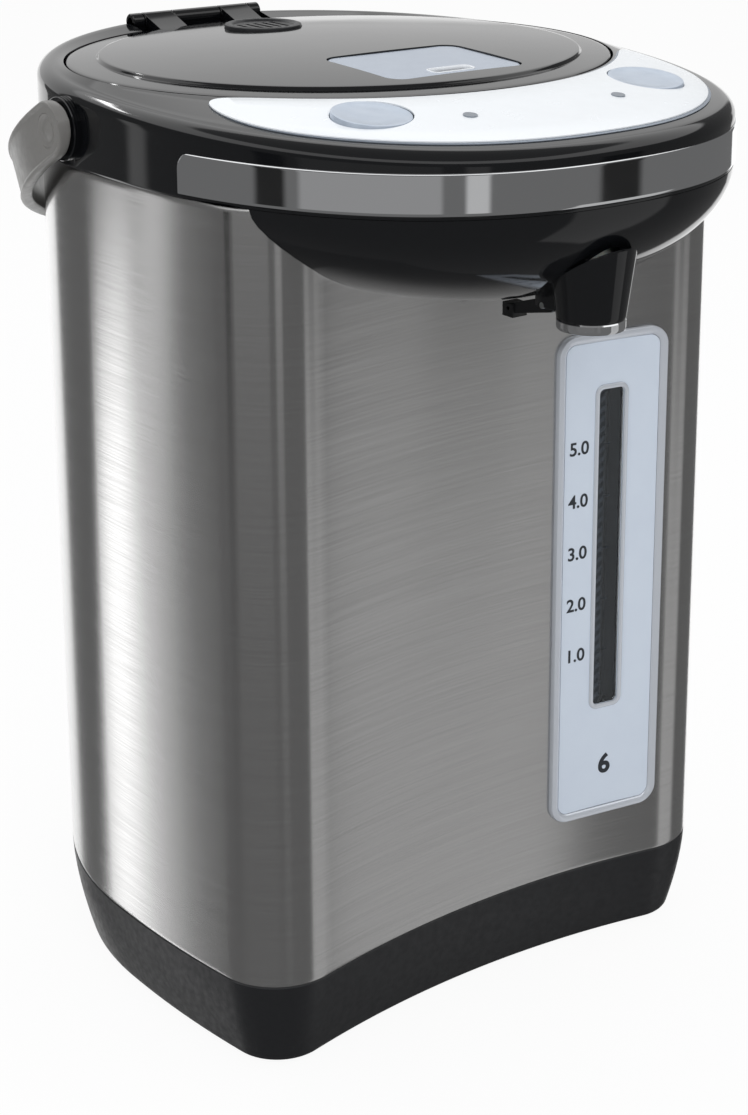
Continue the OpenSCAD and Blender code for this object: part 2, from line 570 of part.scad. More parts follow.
// ---- head ----
module head_shell() color("#17181a") difference() {
    union() {
        skin(concat([lift(head_pts(0), top_z)], [for (a = [0, 30, 60, 90]) rim_ring(a, 0)],
            [lift(lid_pts(-lid_gap), seam_z), lift(lid_pts(-lid_gap), collar_z),
            lift(lid_pts(-lid_gap - head_t), collar_z),
            lift(lid_pts(-lid_gap - head_t), seam_z - head_t)], [for (a = [90, 45, 0]) rim_ring(a, head_t)],
            [lift(head_pts(head_t), top_z)]), closed = true);
        difference() {
            slab(head_pts(head_t - 0.4), top_z, vessel_top);
            drum(vessel_r + 0.6, top_z - 1, vessel_top + 1, 0, vessel_y);
        }
        both_sides() for (p = [[80, -88], [22, -134]]) drum(3, vessel_top - 1, board_z, p.x, p.y);
        difference() {
            both_sides() axle(boss_r, head_w2 - 3, boss_x, pivot_y, pivot_z);
            slab(body_pts(-slack), base_h, top_z);
        }
        difference() {
            intersection() {
                slab(head_pts(4), hinge_z - 8.5, seam_z - 0.5);
                box(-36, 36, lid_y, body_back, 0, seam_z);
            }
            slab(lid_pts(-lid_gap), 0, seam_z);
            hinge_pocket();
        }
        hinge_ears();
    }
    difference() {
        slab(head_pts(-3), band_z0, band_z0 + band_h);
        slab(head_pts(band_seat), band_z0 - 1, band_z0 + band_h + 1);
        box(-head_w2 - 5, head_w2 + 5, -band_end, head_back + 5, band_z0 - 1, band_z0 + band_h + 1);
    }
    both_sides() axle(pivot_r, head_w2 - 10, boss_x + 1, pivot_y, pivot_z);
    both_sides() on_deck(button_at) drum(button_r + 0.3, -12, 5);
    both_sides() on_deck(lamp_at) drum(lamp_r, -8, 5);
    difference() {
        hinge_pocket();
        hinge_ears();
    }
    axle(hinge_pin_r, -33, 33, hinge_y, hinge_z);
    box(-catch_w / 2, catch_w / 2, lid_y - lid_b - lid_gap - head_t - 1, lid_y - lid_b + 12,
        collar_z - 1, latch_z + latch_t + 0.6);
    at_rods() drum(rod_r, top_z - 1, vessel_top - 1);
}
module hinge_ears() for (e = [[-32, -26.5], [-11.5, 11.5], [26.5, 32]]) {
    axle(hinge_r, e[0], e[1], hinge_y, hinge_z);
    box(e[0], e[1], hinge_y - 3, hinge_y + 3, hinge_z - 8, hinge_z);
}
module hinge_pocket() box(-32.6, 32.6, lid_y + lid_b - 8, hinge_y + 5.6, hinge_z - 6, hinge_z + 20);
module mouth_ring() color("#2a2b2e") difference() {
    slab(lid_pts(-lid_gap - head_t), mouth_floor - mouth_t, collar_z);
    slab(lid_pts(-lid_gap), mouth_floor, collar_z + 1);
    drum(mouth_r, mouth_floor - mouth_t - 1, mouth_floor + 1, 0, vessel_y);
}
module chrome_band() color("#d7dadd") difference() {
    slab(head_pts(-band_proud), band_z0, band_z0 + band_h);
    slab(head_pts(band_seat), band_z0 - 1, band_z0 + band_h + 1);
    box(-head_w2 - 5, head_w2 + 5, -band_end, head_back + 5, band_z0 - 1, band_z0 + band_h + 1);
    both_sides() difference() {
        box(head_w2 - 20, head_w2 + 5, -band_end - 5, 1 - band_end,
            band_z0 + band_h - 5, band_z0 + band_h + 1);
        axle(5, head_w2 - 21, head_w2 + 6, -band_end - 5, band_z0 + band_h - 5);
    }
}
module beak_cover() color("#131416") difference() {
    intersection() {
        bowl(0);
        box(-head_w2, head_w2, -beak_reach, front_y + 3.4, top_z - bowl_depth - 1, top_z);
    }
    bowl(head_t);
    slab(body_pts(-0.2), top_z - bowl_depth - 2, top_z + 1);
    drum(spout_bore, spout_z, top_z, 0, spout_y);
    drum(1.8, spout_z, top_z - bowl_depth + 8, 0, lever_y + 9.5);
}

// ---- controls ----
module panel_bezel() color("silver") difference() {
    strip(panel_in - bezel_edge, panel_out + bezel_edge, 0.05, bezel_t);
    both_sides() on_deck(button_at) drum(button_r + 0.3, -5, 5);
    both_sides() on_deck(lamp_at) drum(lamp_r, -5, 5);
}
module control_panel() color("#f1f5f8") difference() {
    strip(panel_in, panel_out, bezel_t + 0.06, bezel_t + panel_t);
    both_sides() on_deck(button_at) drum(button_r + 0.3, -5, 5);
    both_sides() on_deck(lamp_at) drum(lamp_r, -5, 5);
}
module indicator_lenses() color("#e7c9a0")
    both_sides() on_deck(lamp_at) drum(lamp_r, -6, bezel_t + panel_t + 0.4);
module button() on_deck(button_at) {
    drum(button_r, -4, bezel_t + panel_t + 0.6);
    drum(3, -8, -4);
}
module right_button() color("#dfe4ea") button();
module left_button() color("#dfe4ea") mirror([1, 0, 0]) button();
module control_board() color("#2f6b45") difference() {
    slab(head_pts(8), board_z, board_z + board_t);
    slab(lid_pts(-6), board_z - 1, board_z + board_t + 1);
    box(-head_w2, head_w2, board_back, head_back, board_z - 1, board_z + board_t + 1);
}
module button_switches() color("#3a3c40") both_sides() box(button_at.x - 3, button_at.x + 3, button_at.y - 3,
    button_at.y + 3, board_z + board_t, button_at.z - 9.5 - button_travel);

// ---- spout and cup lever ----
module spout_hood() color("#1b1c1f") difference() {
    union() {
        difference() {
            translate([0, spout_y, spout_z + ring_h]) cylinder(r1 = spout_r, r2 = hood_r, h = 30);
            at_slant() box(-40, 40, -40, 40, 0, 40);
        }
        difference() {
            drum(neck_r, spout_z + ring_h + 1, top_z, 0, spout_y + 5);
            at_slant() box(-40, 40, -40, 40, -60, -0.5);
        }
        box(-6, 6, spout_y + 9, lever_y + 4, spout_z + ring_h, spout_z + 14);
    }
    drum(spout_bore, spout_z, top_z, 0, spout_y);
    bowl(0);
    box(-lever_w / 2 - slack, lever_w / 2 + slack, lever_y - 6, lever_y + 5, spout_z - 1, spout_z + 30);
    axle(lever_pin_r, -7, 7, lever_y, lever_z);
}
module at_slant() translate([0, spout_y, spout_z + 21.3]) rotate([-33, 0, 0]) children();
module spout_ring() color("#d7dadd") pipe(spout_r, spout_bore, spout_z, spout_z + ring_h, 0, spout_y);
module outlet_pipe() color("#b9bdc1") pipe(nipple_r, nipple_r - 1, spout_z + 3, hose_z - 8, 0, spout_y);
module cup_lever() color("#1b1c1f") difference() {
    union() {
        axle(3, -lever_w / 2, lever_w / 2, lever_y, lever_z);
        translate([-lever_w / 2, 0, 0]) rotate([90, 0, 90]) linear_extrude(lever_w) polygon([
            [lever_y - 1, lever_z - 3], [lever_y + 1.4, lever_z + 2.4],
            [lever_y + 21, lever_z - 4], [lever_y + 21, lever_z - 8]]);
        box(-3.4, 3.4, lever_y + 19.5, lever_y + 25.5, spout_z - 4.6, spout_z + 0.6);
    }
    axle(lever_pin_r + fit, -4, 4, lever_y, lever_z);
}
module lever_pin() color("silver") axle(lever_pin_r, -6, 6, lever_y, lever_z);
module lever_switch() color("#3a3c40") {
    box(-5, 5, lever_y + 3.5, lever_y + 15.5, top_z - bowl_depth + 8, top_z - bowl_depth + 16);
    drum(1.2, lever_z + 1, top_z - bowl_depth + 8, 0, lever_y + 9.5);
}

// ---- lid ----
module lid_shell() color("#17181a") difference() {
    union() {
        difference() {
            skin(concat(
                [lift(lid_pts(0), lid_edge), lift(lid_pts(0), seam_z - 0.9), lift(lid_pts(0.9), seam_z)],
                [for (s = dome_steps) lid_ring(s, 0, dome(s))]));
            skin(concat([lift(lid_pts(lid_t), lid_edge - 1), lift(lid_pts(lid_t), seam_z - lid_t)],
                [for (s = dome_steps) lid_ring(s, lid_t, dome(s) - lid_t)]));
        }
        at_lid_screws() pipe(4, screw_r, core_top, seam_z + 0.6);
        both_sides() axle(hinge_r, 12, 26, hinge_y, hinge_z);
        both_sides() translate([12, 0, 0]) rotate([90, 0, 90]) linear_extrude(14) polygon([
            [lid_y + lid_b - 7.5, seam_z - 2.5], [lid_y + lid_b - 7.5, seam_z + 0.6],
            [hinge_y - 1, hinge_z + hinge_r - 0.2], [hinge_y, hinge_z],
            [hinge_y - 1, hinge_z - hinge_r + 0.2]]);
    }
    both_sides() axle(hinge_pin_r + fit, 11, 27, hinge_y, hinge_z);
    translate([0, press_y, lid_edge]) linear_extrude(40)
        polygon(round_rect(press_w + 2 * slack, press_l + 2 * slack, 7));
    drum(vent_r - 3.2, lid_edge, seam_z + 20, 0, vent_y);
    drum(vent_r + 0.2, vent_seat, seam_z + 20, 0, vent_y);
    box(-latch_w / 2 - 0.4, latch_w / 2 + 0.4, lid_y - lid_b - 5, lid_y - lid_b + 12,
        lid_edge - 1, latch_z + latch_t + 0.4);
}
module lid_core() color("#26272a") {
    lid_core_plate();
    difference() {
        box(-1.9, 1.9, latch_spring_y + 6, latch_spring_y + 11, latch_z - 0.3, latch_axis + 1.8);
        translate([0, latch_spring_y + 5, latch_axis]) rotate([-90, 0, 0]) cylinder(r = 1.4, h = 7);
    }
}
module lid_core_plate() difference() {
    union() {
        slab(lid_pts(lid_t + slack), core_top - core_t, core_top);
        drum(plug_r, plug_z, core_top - core_t, 0, vessel_y);
    }
    drum(bellows_r + 1, bellows_z0, core_top + 1, 0, bellows_y);
    drum(stem_r + fit, plug_z - 1, bellows_z0 + 1, 0, bellows_y);
    box(-latch_w / 2 - 0.4, latch_w / 2 + 0.4, lid_y - lid_b, slot_y + slot_l / 2 + 2,
        latch_z - 0.2, core_top + 1);
    drum(vent_r - 8, plug_z - 1, core_top + 1, 0, vent_y);
    at_lid_screws() drum(screw_r, core_top - core_t - 1, core_top + 1);
}
module at_lid_screws() both_sides() for (p = [[84, -18], [78, 62]]) translate([p.x, p.y, 0]) children();
module lid_screws() color("silver") at_lid_screws() {
    drum(screw_r * 2, core_top - core_t - 1.4, core_top - core_t);
    drum(screw_r, core_top - core_t, core_top + 3);
}
module lid_underplate() color("#b9bdc1") difference() {
    drum(plug_r - 1, plug_z - 1.2, plug_z, 0, vessel_y);
    drum(stem_r + 0.5, plug_z - 2, plug_z + 1, 0, bellows_y);
    drum(vent_r - 8, plug_z - 2, plug_z + 1, 0, vent_y);
}
module lid_seal() color("#e8e4dc") pipe(mouth_r + 6, plug_r, mouth_floor + 0.2, mouth_floor + 3, 0, vessel_y);
module steam_vent() color("#2a2b2e") difference() {
    union() {
        drum(vent_r, vent_seat, vent_top, 0, vent_y);
        drum(vent_r - 3.2, core_top, vent_seat + 0.5, 0, vent_y);
    }
    drum(vent_r - 5, core_top - 1, vent_top - 1.3, 0, vent_y);
    for (x = [-8:4:8]) box(x - 0.8, x + 0.8, vent_y - 7, vent_y + 7, vent_top - 2, vent_top + 1);
}
module on_press() translate([0, press_y - press_l / 2, seam_z + 0.2]) rotate([press_tilt, 0, 0]) children();
module press_plate() color("#9fa9b8") difference() {
    union() {
        intersection() {
            translate([0, press_y, seam_z - 10]) linear_extrude(40)
                polygon(round_rect(press_w, press_l, 6.6));
            on_press() box(-press_w, press_w, -10, press_l + 10, -press_t, 0);
        }
        intersection() {
            drum(bellows_r - 2, bellows_z1, seam_z + 10, 0, bellows_y);
            on_press() box(-press_w, press_w, -10, press_l + 10, -20, -press_t + 0.5);
        }
        drum(stem_r, plug_z + press_travel + 0.6, bellows_z1 + 1, 0, bellows_y);
    }
    translate([0, slot_y, seam_z - 10]) linear_extrude(40) polygon(round_rect(slot_w, slot_l, 2.8));
}
module air_bellows() color("#3b3d41") translate([0, bellows_y, 0]) rotate_extrude() {
    h = (bellows_z1 - bellows_z0) / 8;
    polygon(concat([for (k = [0:8]) [bellows_r - (k % 2 == 0 ? 3 : 0), bellows_z0 + k * h]],
        [for (k = [8:-1:0]) [bellows_r - 1 - (k % 2 == 0 ? 3 : 0), bellows_z0 + k * h]]));
}
// Coil springs: round wire along a helix, and the second one lies along Y.
function helix(r, h, turns) = [for (k = [0:turns * 10])
    [r * cos(36 * k), r * sin(36 * k), h * k / (turns * 10)]];
module press_spring() color("silver") translate([0, bellows_y, bellows_z0 + 0.6])
    wire(helix(6, bellows_z1 - bellows_z0 - 1.2, 5), 0.5, [0, 0, 1]);
module latch_spring() color("silver") translate([0, latch_spring_y, latch_axis]) rotate([-90, 0, 0])
    wire(helix(1, 10, 6), 0.2, [0, 0, 1]);
module lid_latch() color("#8e98a6") difference() {
    union() {
        box(-latch_w / 2, latch_w / 2, latch_tip, slot_y + 1, latch_z, latch_z + latch_t);
        box(-7, 7, slot_y - slot_l / 2 + 0.4, slot_y - slot_l / 2 + 2.8, latch_z, latch_z + latch_t + 0.3);
    }
    box(-2.2, 2.2, latch_spring_y - 0.2, latch_spring_y + 10 + 1.6 + latch_travel + 0.4,
        latch_z - 1, latch_z + latch_t + 1);
}

// ---- handle ----
function handle_arc(i) = concat([[handle_x - i, -handle_w]],
    [for (k = [0:40]) let (a = 180 * k / 40)
    [(handle_x - i) * sign(cos(a)) * pow(abs(cos(a)), 2 / handle_power),
    (handle_reach - i) * pow(sin(a), 2 / handle_power)]], [[i - handle_x, -handle_w]]);
function reversed(list) = [for (k = [len(list) - 1:-1:0]) list[k]];
// Side outline of the handle: a round end about the pivot, then a taper to the grip.
handle_side = concat([for (k = [0:12]) handle_w / 2 * [-sin(15 * k), cos(15 * k)]],
    [[handle_reach * 0.3, -handle_w / 2], [handle_reach * 0.72, -grip_w / 2], [handle_reach + 1, -grip_w / 2],
    [handle_reach + 1, grip_w / 2], [handle_reach * 0.72, grip_w / 2], [handle_reach * 0.3, handle_w / 2]]);
module carry_handle() color("#4b4a48") difference() {
    in_handle() intersection() {
        linear_extrude(handle_w + 2, center = true)
            polygon(concat(handle_arc(0), reversed(handle_arc(handle_t))));
        rotate([90, 0, 90]) linear_extrude(2 * handle_x + 2, center = true) polygon(handle_side);
    }
    both_sides() axle(pivot_r + fit, handle_x - handle_t - 1, handle_x, pivot_y, pivot_z);
    both_sides() axle(cap_r, handle_x - handle_t + 2.2, handle_x + 1, pivot_y, pivot_z);
}
module handle_pivots() color("silver") both_sides() {
    axle(pivot_r, head_w2 - 5, handle_x - handle_t + 2.4, pivot_y, pivot_z);
    axle(cap_r - 1, handle_x - handle_t + 2.4, handle_x - 1.8, pivot_y, pivot_z);
}
module pivot_caps() color("#333230") both_sides() difference() {
    axle(cap_r, handle_x - 1.6, handle_x - 0.2, pivot_y, pivot_z);
    axle(2.2, handle_x - 1, handle_x + 1, pivot_y, pivot_z);
}
module hinge_pin() color("silver") axle(hinge_pin_r, -32, 32, hinge_y, hinge_z);

// ---- every node, at its place ----
place() base_shell();
place() bottom_plate();
place() rubber_feet();
place() bottom_screws();
place() tie_rods();
place() steel_casing();
place() gauge_frame();
place() gauge_plate();
place() gauge_window();
place() gauge_backing();
place() sight_tube();
place() tube_couplings();
place() pump_motor();
place() pump_body();
place() pump_impeller();
place() inlet_hose();
place() riser_hose();
place() outlet_hose();
place() inner_vessel();
place() strainer();
place() vessel_seal();
place() heater_plate();
place() thermostats();
place() heat_shield();
place() keep_warm_band();
place() power_inlet();
place() inlet_pins();
place() head_shell();
place() mouth_ring();
place() chrome_band();
place() beak_cover();
place() panel_bezel();
place() control_panel();
place() indicator_lenses();
place() right_button();
place() left_button();
place() control_board();
place() button_switches();
place() spout_hood();
place() spout_ring();
place() outlet_pipe();
place() cup_lever();
place() lever_pin();
place() lever_switch();
place() lid_shell();
place() lid_core();
place() lid_screws();
place() lid_underplate();
place() lid_seal();
place() steam_vent();
place() press_plate();
place() air_bellows();
place() press_spring();
place() latch_spring();
place() lid_latch();
place() carry_handle();
place() handle_pivots();
place() pivot_caps();
place() hinge_pin();
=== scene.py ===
import math

import bmesh
import bpy
from mathutils import Matrix, Vector


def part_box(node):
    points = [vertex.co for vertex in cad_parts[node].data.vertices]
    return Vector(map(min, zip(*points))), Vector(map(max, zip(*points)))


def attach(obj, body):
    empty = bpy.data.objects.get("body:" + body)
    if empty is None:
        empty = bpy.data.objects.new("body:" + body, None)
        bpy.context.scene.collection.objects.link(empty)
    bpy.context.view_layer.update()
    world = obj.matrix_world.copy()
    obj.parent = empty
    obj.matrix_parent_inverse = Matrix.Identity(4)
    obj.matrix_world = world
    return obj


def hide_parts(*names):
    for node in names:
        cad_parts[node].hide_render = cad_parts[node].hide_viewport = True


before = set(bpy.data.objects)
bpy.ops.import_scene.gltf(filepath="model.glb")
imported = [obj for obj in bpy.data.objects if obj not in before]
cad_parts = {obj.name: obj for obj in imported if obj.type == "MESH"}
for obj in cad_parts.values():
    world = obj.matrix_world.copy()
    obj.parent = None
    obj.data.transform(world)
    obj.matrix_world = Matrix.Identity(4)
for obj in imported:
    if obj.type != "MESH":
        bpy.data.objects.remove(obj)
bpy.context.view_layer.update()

# ---- steel casing ----
# The outer wall of the pot: one sheet of stainless steel, rolled to the plan,
# seamed at the back and brushed round. Its top edge turns in under the head.
body_w, body_back, body_front = 242, 128, 103
front_bow, side_r, corner_r = 15.6, 463, 26
base_h, casing_h, casing_t = 37.5, 300, 1
top_z = base_h + casing_h
middle_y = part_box("steel_casing")[1].y * 1000 - body_back

side_c = Vector((body_w / 2 - side_r, 0))
chord_x = side_c.x + math.sqrt(side_r ** 2 - body_front ** 2)
front_r = (chord_x ** 2 + front_bow ** 2) / (2 * front_bow)
front_c = Vector((0, front_bow - body_front - front_r))
apart = (front_c - side_c).length
toward = (front_c - side_c) / apart
corner_a = ((side_r - corner_r) ** 2 - (front_r + corner_r) ** 2 + apart ** 2) / (2 * apart)
corner_h = math.sqrt((side_r - corner_r) ** 2 - corner_a ** 2)
corner_c = side_c + corner_a * toward + corner_h * Vector((-toward.y, toward.x))
corner_start = math.atan2(corner_c.y - side_c.y, corner_c.x - side_c.x)
corner_end = math.atan2(front_c.y - corner_c.y, front_c.x - corner_c.x)


def steps(start, stop, count):
    return [start + (stop - start) * k / count for k in range(count + 1)]


def arc(centre, radius, start, stop, count):
    return [(centre[0] + radius * math.cos(a), centre[1] + radius * math.sin(a))
            for a in steps(start, stop, count)]


def mirrored(half):
    return half + [(-x, y) for x, y in reversed(half[1:-1])]


def body_outline(inset):
    """The casing's plan, drawn in by inset, from the middle of the back round the right side."""
    back = [((body_w / 2 - inset) * math.sin(a), (body_back - inset) * math.cos(a))
            for a in steps(0, math.pi / 2, 48)]
    side = arc(side_c, side_r - inset, 0, corner_start, 12)
    corner = arc(corner_c, corner_r - inset, corner_start, corner_end, 20)
    front = arc(front_c, front_r + inset, corner_end + math.pi, math.pi / 2, 30)
    return mirrored(back + side[1:] + corner[1:] + front[1:])


def level(outline, z):
    return [(x, y, z) for x, y in outline]


def metres(point):
    return Vector((point[0], point[1] + middle_y, point[2])) / 1000


def placed(name, data):
    """An object in the scene that shows a mesh, a text, a lamp or a camera."""
    made = bpy.data.objects.new(name, data)
    bpy.context.scene.collection.objects.link(made)
    return made


def build(name, points, faces):
    """A piece from points in millimetres, with every face turned outwards."""
    mesh = bpy.data.meshes.new(name)
    mesh.from_pydata([metres(p) for p in points], [], faces)
    shape = bmesh.new()
    shape.from_mesh(mesh)
    bmesh.ops.recalc_face_normals(shape, faces=shape.faces)
    shape.to_mesh(mesh)
    shape.free()
    return placed(name, mesh)


def skin(name, rings, closed=False):
    """A piece through a stack of rings; a closed one joins its last ring to its first."""
    n, m = len(rings[0]), len(rings)
    faces = []
    for r in range(m if closed else m - 1):
        up = (r + 1) % m * n
        faces += [(r * n + k, r * n + (k + 1) % n, up + (k + 1) % n, up + k) for k in range(n)]
    if not closed:
        faces += [tuple(reversed(range(n))), tuple(range((m - 1) * n, m * n))]
    return build(name, [p for ring in rings for p in ring], faces)


def block(x0, x1, y0, y1, z0, z1):
    corners = [(x0, y0), (x1, y0), (x1, y1), (x0, y1)]
    return skin("block", [level(corners, z0), level(corners, z1)])


def applied(piece):
    """Turn the piece's modifiers into its mesh."""
    whole = bpy.context.evaluated_depsgraph_get()
    mesh = bpy.data.meshes.new_from_object(piece.evaluated_get(whole))
    piece.modifiers.clear()
    old, piece.data = piece.data, mesh
    bpy.data.meshes.remove(old)


def carve(piece, tool, how="DIFFERENCE"):
    """Cut the tool from the piece, or join the two, and drop the tool."""
    cut = piece.modifiers.new("cut", "BOOLEAN")
    cut.operation, cut.object, cut.solver = how, tool, "EXACT"
    applied(piece)
    bpy.data.objects.remove(tool)


def soften(piece, radius):
    """Round a piece's sharp edges, as a mould does."""
    edge = piece.modifiers.new("edge", "BEVEL")
    edge.width, edge.segments, edge.angle_limit = radius / 1000, 2, math.radians(35)
    applied(piece)


def linear(code):
    """A colour written as sRGB hex, as the linear values that a shader takes."""
    parts = [int(code[k:k + 2], 16) / 255 for k in (1, 3, 5)]
    return [c / 12.92 if c <= 0.04045 else ((c + 0.055) / 1.055) ** 2.4 for c in parts] + [1]


def node(tree, kind, sockets=None, **settings):
    """Add a node with its settings; each socket takes a value or another node's output."""
    made = tree.nodes.new(kind)
    for name, value in settings.items():
        setattr(made, name, value)
    for name, value in (sockets or {}).items():
        if isinstance(value, bpy.types.NodeSocket):
            tree.links.new(value, made.inputs[name])
        else:
            made.inputs[name].default_value = value
    return made


def emptied(owner):
    """The node tree of a material or a world, without its nodes."""
    owner.use_nodes = True
    owner.node_tree.nodes.clear()
    return owner.node_tree


def maths(tree, operation, *values):
    """The output of a Math node over one, two or three values."""
    return node(tree, "ShaderNodeMath", dict(enumerate(values)), operation=operation).outputs["Value"]


def ramp(tree, value, start, stop, low=0.0, high=1.0):
    """Low where the value is at start or before, high at stop or after, even between them."""
    return node(tree, "ShaderNodeMapRange", {"Value": value, "From Min": start, "From Max": stop,
                                             "To Min": low, "To Max": high}).outputs["Result"]


def blend(tree, share, first, second):
    """The first colour at a share of 0, and the second at 1."""
    return node(tree, "ShaderNodeMix", {"Factor": share, "A": first, "B": second},
                data_type="RGBA").outputs["Result"]


def finish(name, colour, sockets):
    """A material and its surface shader, with the shader's own sockets set."""
    material = bpy.data.materials.new(name)
    tree = emptied(material)
    shader = node(tree, "ShaderNodeBsdfPrincipled", {"Base Color": linear(colour), **sockets})
    node(tree, "ShaderNodeOutputMaterial", {"Surface": shader.outputs["BSDF"]})
    return material, tree, shader


def mottle(tree, size, stretch=(1, 1, 1), detail=2.0):
    """Noise whose grains are about size millimetres across."""
    place = node(tree, "ShaderNodeTexCoord").outputs["Object"]
    scaled = node(tree, "ShaderNodeMapping", {"Vector": place, "Scale": stretch})
    return node(tree, "ShaderNodeTexNoise",
                {"Vector": scaled.outputs["Vector"], "Scale": 1000 / size, "Detail": detail}).outputs["Fac"]


def grain(tree, shader, size, depth, stretch=(1, 1, 1)):
    """Raise the surface by a mottle of a given size and depth, both in millimetres."""
    bump = node(tree, "ShaderNodeBump", {"Height": mottle(tree, size, stretch), "Strength": 1.0,
                                         "Distance": depth / 1000})
    tree.links.new(bump.outputs["Normal"], shader.inputs["Normal"])


def vary(tree, shader, socket, low, high, size, stretch=(1, 1, 1)):
    """Let a socket wander between two values over a mottle."""
    spread = ramp(tree, mottle(tree, size, stretch, 3.0), 0.3, 0.7, low, high)
    tree.links.new(spread, shader.inputs[socket])


def tint(tree, shader, dark, light, size, stretch=(1, 1, 1)):
    """Let the colour wander between two shades over a mottle."""
    mixed = blend(tree, mottle(tree, size, stretch, 3.0), linear(dark), linear(light))
    tree.links.new(mixed, shader.inputs["Base Color"])


def fit(piece, body, nodes, material, angle=30):
    """Give a piece its body, the CAD nodes that it stands for and its material."""
    piece.data.materials.clear()
    piece.data.materials.append(material)
    piece.data.shade_smooth()
    piece.data.set_sharp_from_angle(angle=math.radians(angle))
    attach(piece, body)
    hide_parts(*nodes)


# Stainless steel, brushed round with a belt: long fine strokes, so that lights
# draw out up and down the wall and stay narrow across it.
steel, tree, shader = finish("brushed_stainless_steel", "#c9c8c7",
                             {"Metallic": 1, "Roughness": 0.2, "Anisotropic": 0.92,
                              "Anisotropic Rotation": 0.25})
stroke = (1 / 90, 1 / 90, 1)            # a stroke is about 90 times longer than it is wide
tint(tree, shader, "#c3c2c1", "#d0d0d0", 0.45, stroke)
vary(tree, shader, "Roughness", 0.17, 0.23, 0.6, stroke)
grain(tree, shader, 0.45, 0.0018, stroke)
tangent = node(tree, "ShaderNodeTangent", direction_type="RADIAL", axis="Z")
tree.links.new(tangent.outputs["Tangent"], shader.inputs["Tangent"])

gauge_x, window_w, window_h, window_z = 57, 11.4, 134, 73.2
window_mid = base_h + window_z + window_h / 2
hose_z = top_z - 21.5
inlet_w, inlet_h, inlet_z = 40, 34, base_h + 24


def front_at(x, out=0):
    """A point's y on the bowed front face, or a little in front of it."""
    return front_c.y + math.sqrt((front_r - out) ** 2 - x ** 2)


edge_in = [(0.4, base_h), (0.1, base_h + 0.3), (0, base_h + 0.8), (0, base_h + 1.6),
           (0, top_z - 2.6), (0, top_z - 1.8), (0.12, top_z - 0.9), (0.45, top_z - 0.25),
           (casing_t, top_z), (casing_t, base_h)]
casing = skin("casing_sheet", [level(body_outline(i), z) for i, z in edge_in], closed=True)
glass_y = front_at(gauge_x)
carve(casing, block(gauge_x - window_w / 2 - 2, gauge_x + window_w / 2 + 2, glass_y - 6, glass_y + 8,
                    window_mid - window_h / 2 - 4, window_mid + window_h / 2 + 4))
carve(casing, block(gauge_x - 7, gauge_x + 7, glass_y - 6, glass_y + 8, hose_z - 9, hose_z + 8))
carve(casing, block(-inlet_w / 2 - 1, inlet_w / 2 + 1, body_back - 20, body_back + 2,
                    inlet_z - inlet_h / 2 - 1, inlet_z + inlet_h / 2 + 1))
fit(casing, "root", ["steel_casing"], steel)

# ---- base ----
# The foot of the pot is moulded in black ABS with a fine matt grain. It draws
# in towards the ground, and a lip inside the casing keeps the two in line.
base_t, base_inset, base_curve, foot_h, slack, lip_h = 2.4, 6.6, 1.6, 2, 0.4, 6


def base_ring(u, inset, drop=0):
    drawn_in = base_inset * (1 - max(u, 0)) ** base_curve
    return level(body_outline(inset + drawn_in), foot_h + (base_h - foot_h) * u - drop)


satin_black, tree, shader = finish("moulded_abs_black", "#17181b", {"Roughness": 0.42, "IOR": 1.53})
vary(tree, shader, "Roughness", 0.36, 0.5, 3)
grain(tree, shader, 0.6, 0.02)
base = skin("base_shell_moulded",
            [base_ring(0, base_t), base_ring(0, 0.9), base_ring(0.012, 0.25)]
            + [base_ring(u, 0) for u in (0.03, 0.07, 0.12, 0.19, 0.28, 0.38, 0.48, 0.6, 0.72, 0.85, 0.985)]
            + [base_ring(1, 0.5), base_ring(1, casing_t + slack)]
            + [level(body_outline(casing_t + slack), base_h + lip_h),
               level(body_outline(casing_t + slack + base_t), base_h + lip_h),
               level(body_outline(casing_t + slack + base_t), base_h - base_t)]
            + [base_ring(u, base_t) for u in (0.72, 0.48, 0.28, 0.12)], closed=True)
fit(base, "root", ["base_shell"], satin_black)

# ---- bottom plate, feet and screws ----
# A flat moulded plate closes the base. Four zinc-plated screws hold it, and
# four rubber feet are glued to it.


def dress(names, material):
    for name in names.split():
        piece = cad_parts[name]
        if not piece.material_slots:
            piece.data.materials.append(material)
        for place in piece.material_slots:
            place.material = material


plate_black, tree, shader = finish("moulded_polypropylene_black", "#212226",
                                   {"Roughness": 0.6, "IOR": 1.49})
grain(tree, shader, 1.2, 0.03)
dress("bottom_plate pump_impeller lever_switch button_switches lid_core mouth_ring", plate_black)
rubber, tree, shader = finish("moulded_rubber", "#1a1a1c", {"Roughness": 0.8, "IOR": 1.52})
grain(tree, shader, 0.8, 0.05)
dress("rubber_feet air_bellows", rubber)
zinc, tree, shader = finish("zinc_plated_steel", "#b9bdc0", {"Metallic": 1, "Roughness": 0.35})
tint(tree, shader, "#aab0b5", "#c9cbc8", 4)
vary(tree, shader, "Roughness", 0.28, 0.45, 1.5)
dress("bottom_screws tie_rods pump_motor inlet_pins lid_screws lever_pin handle_pivots hinge_pin "
      "press_spring latch_spring", zinc)

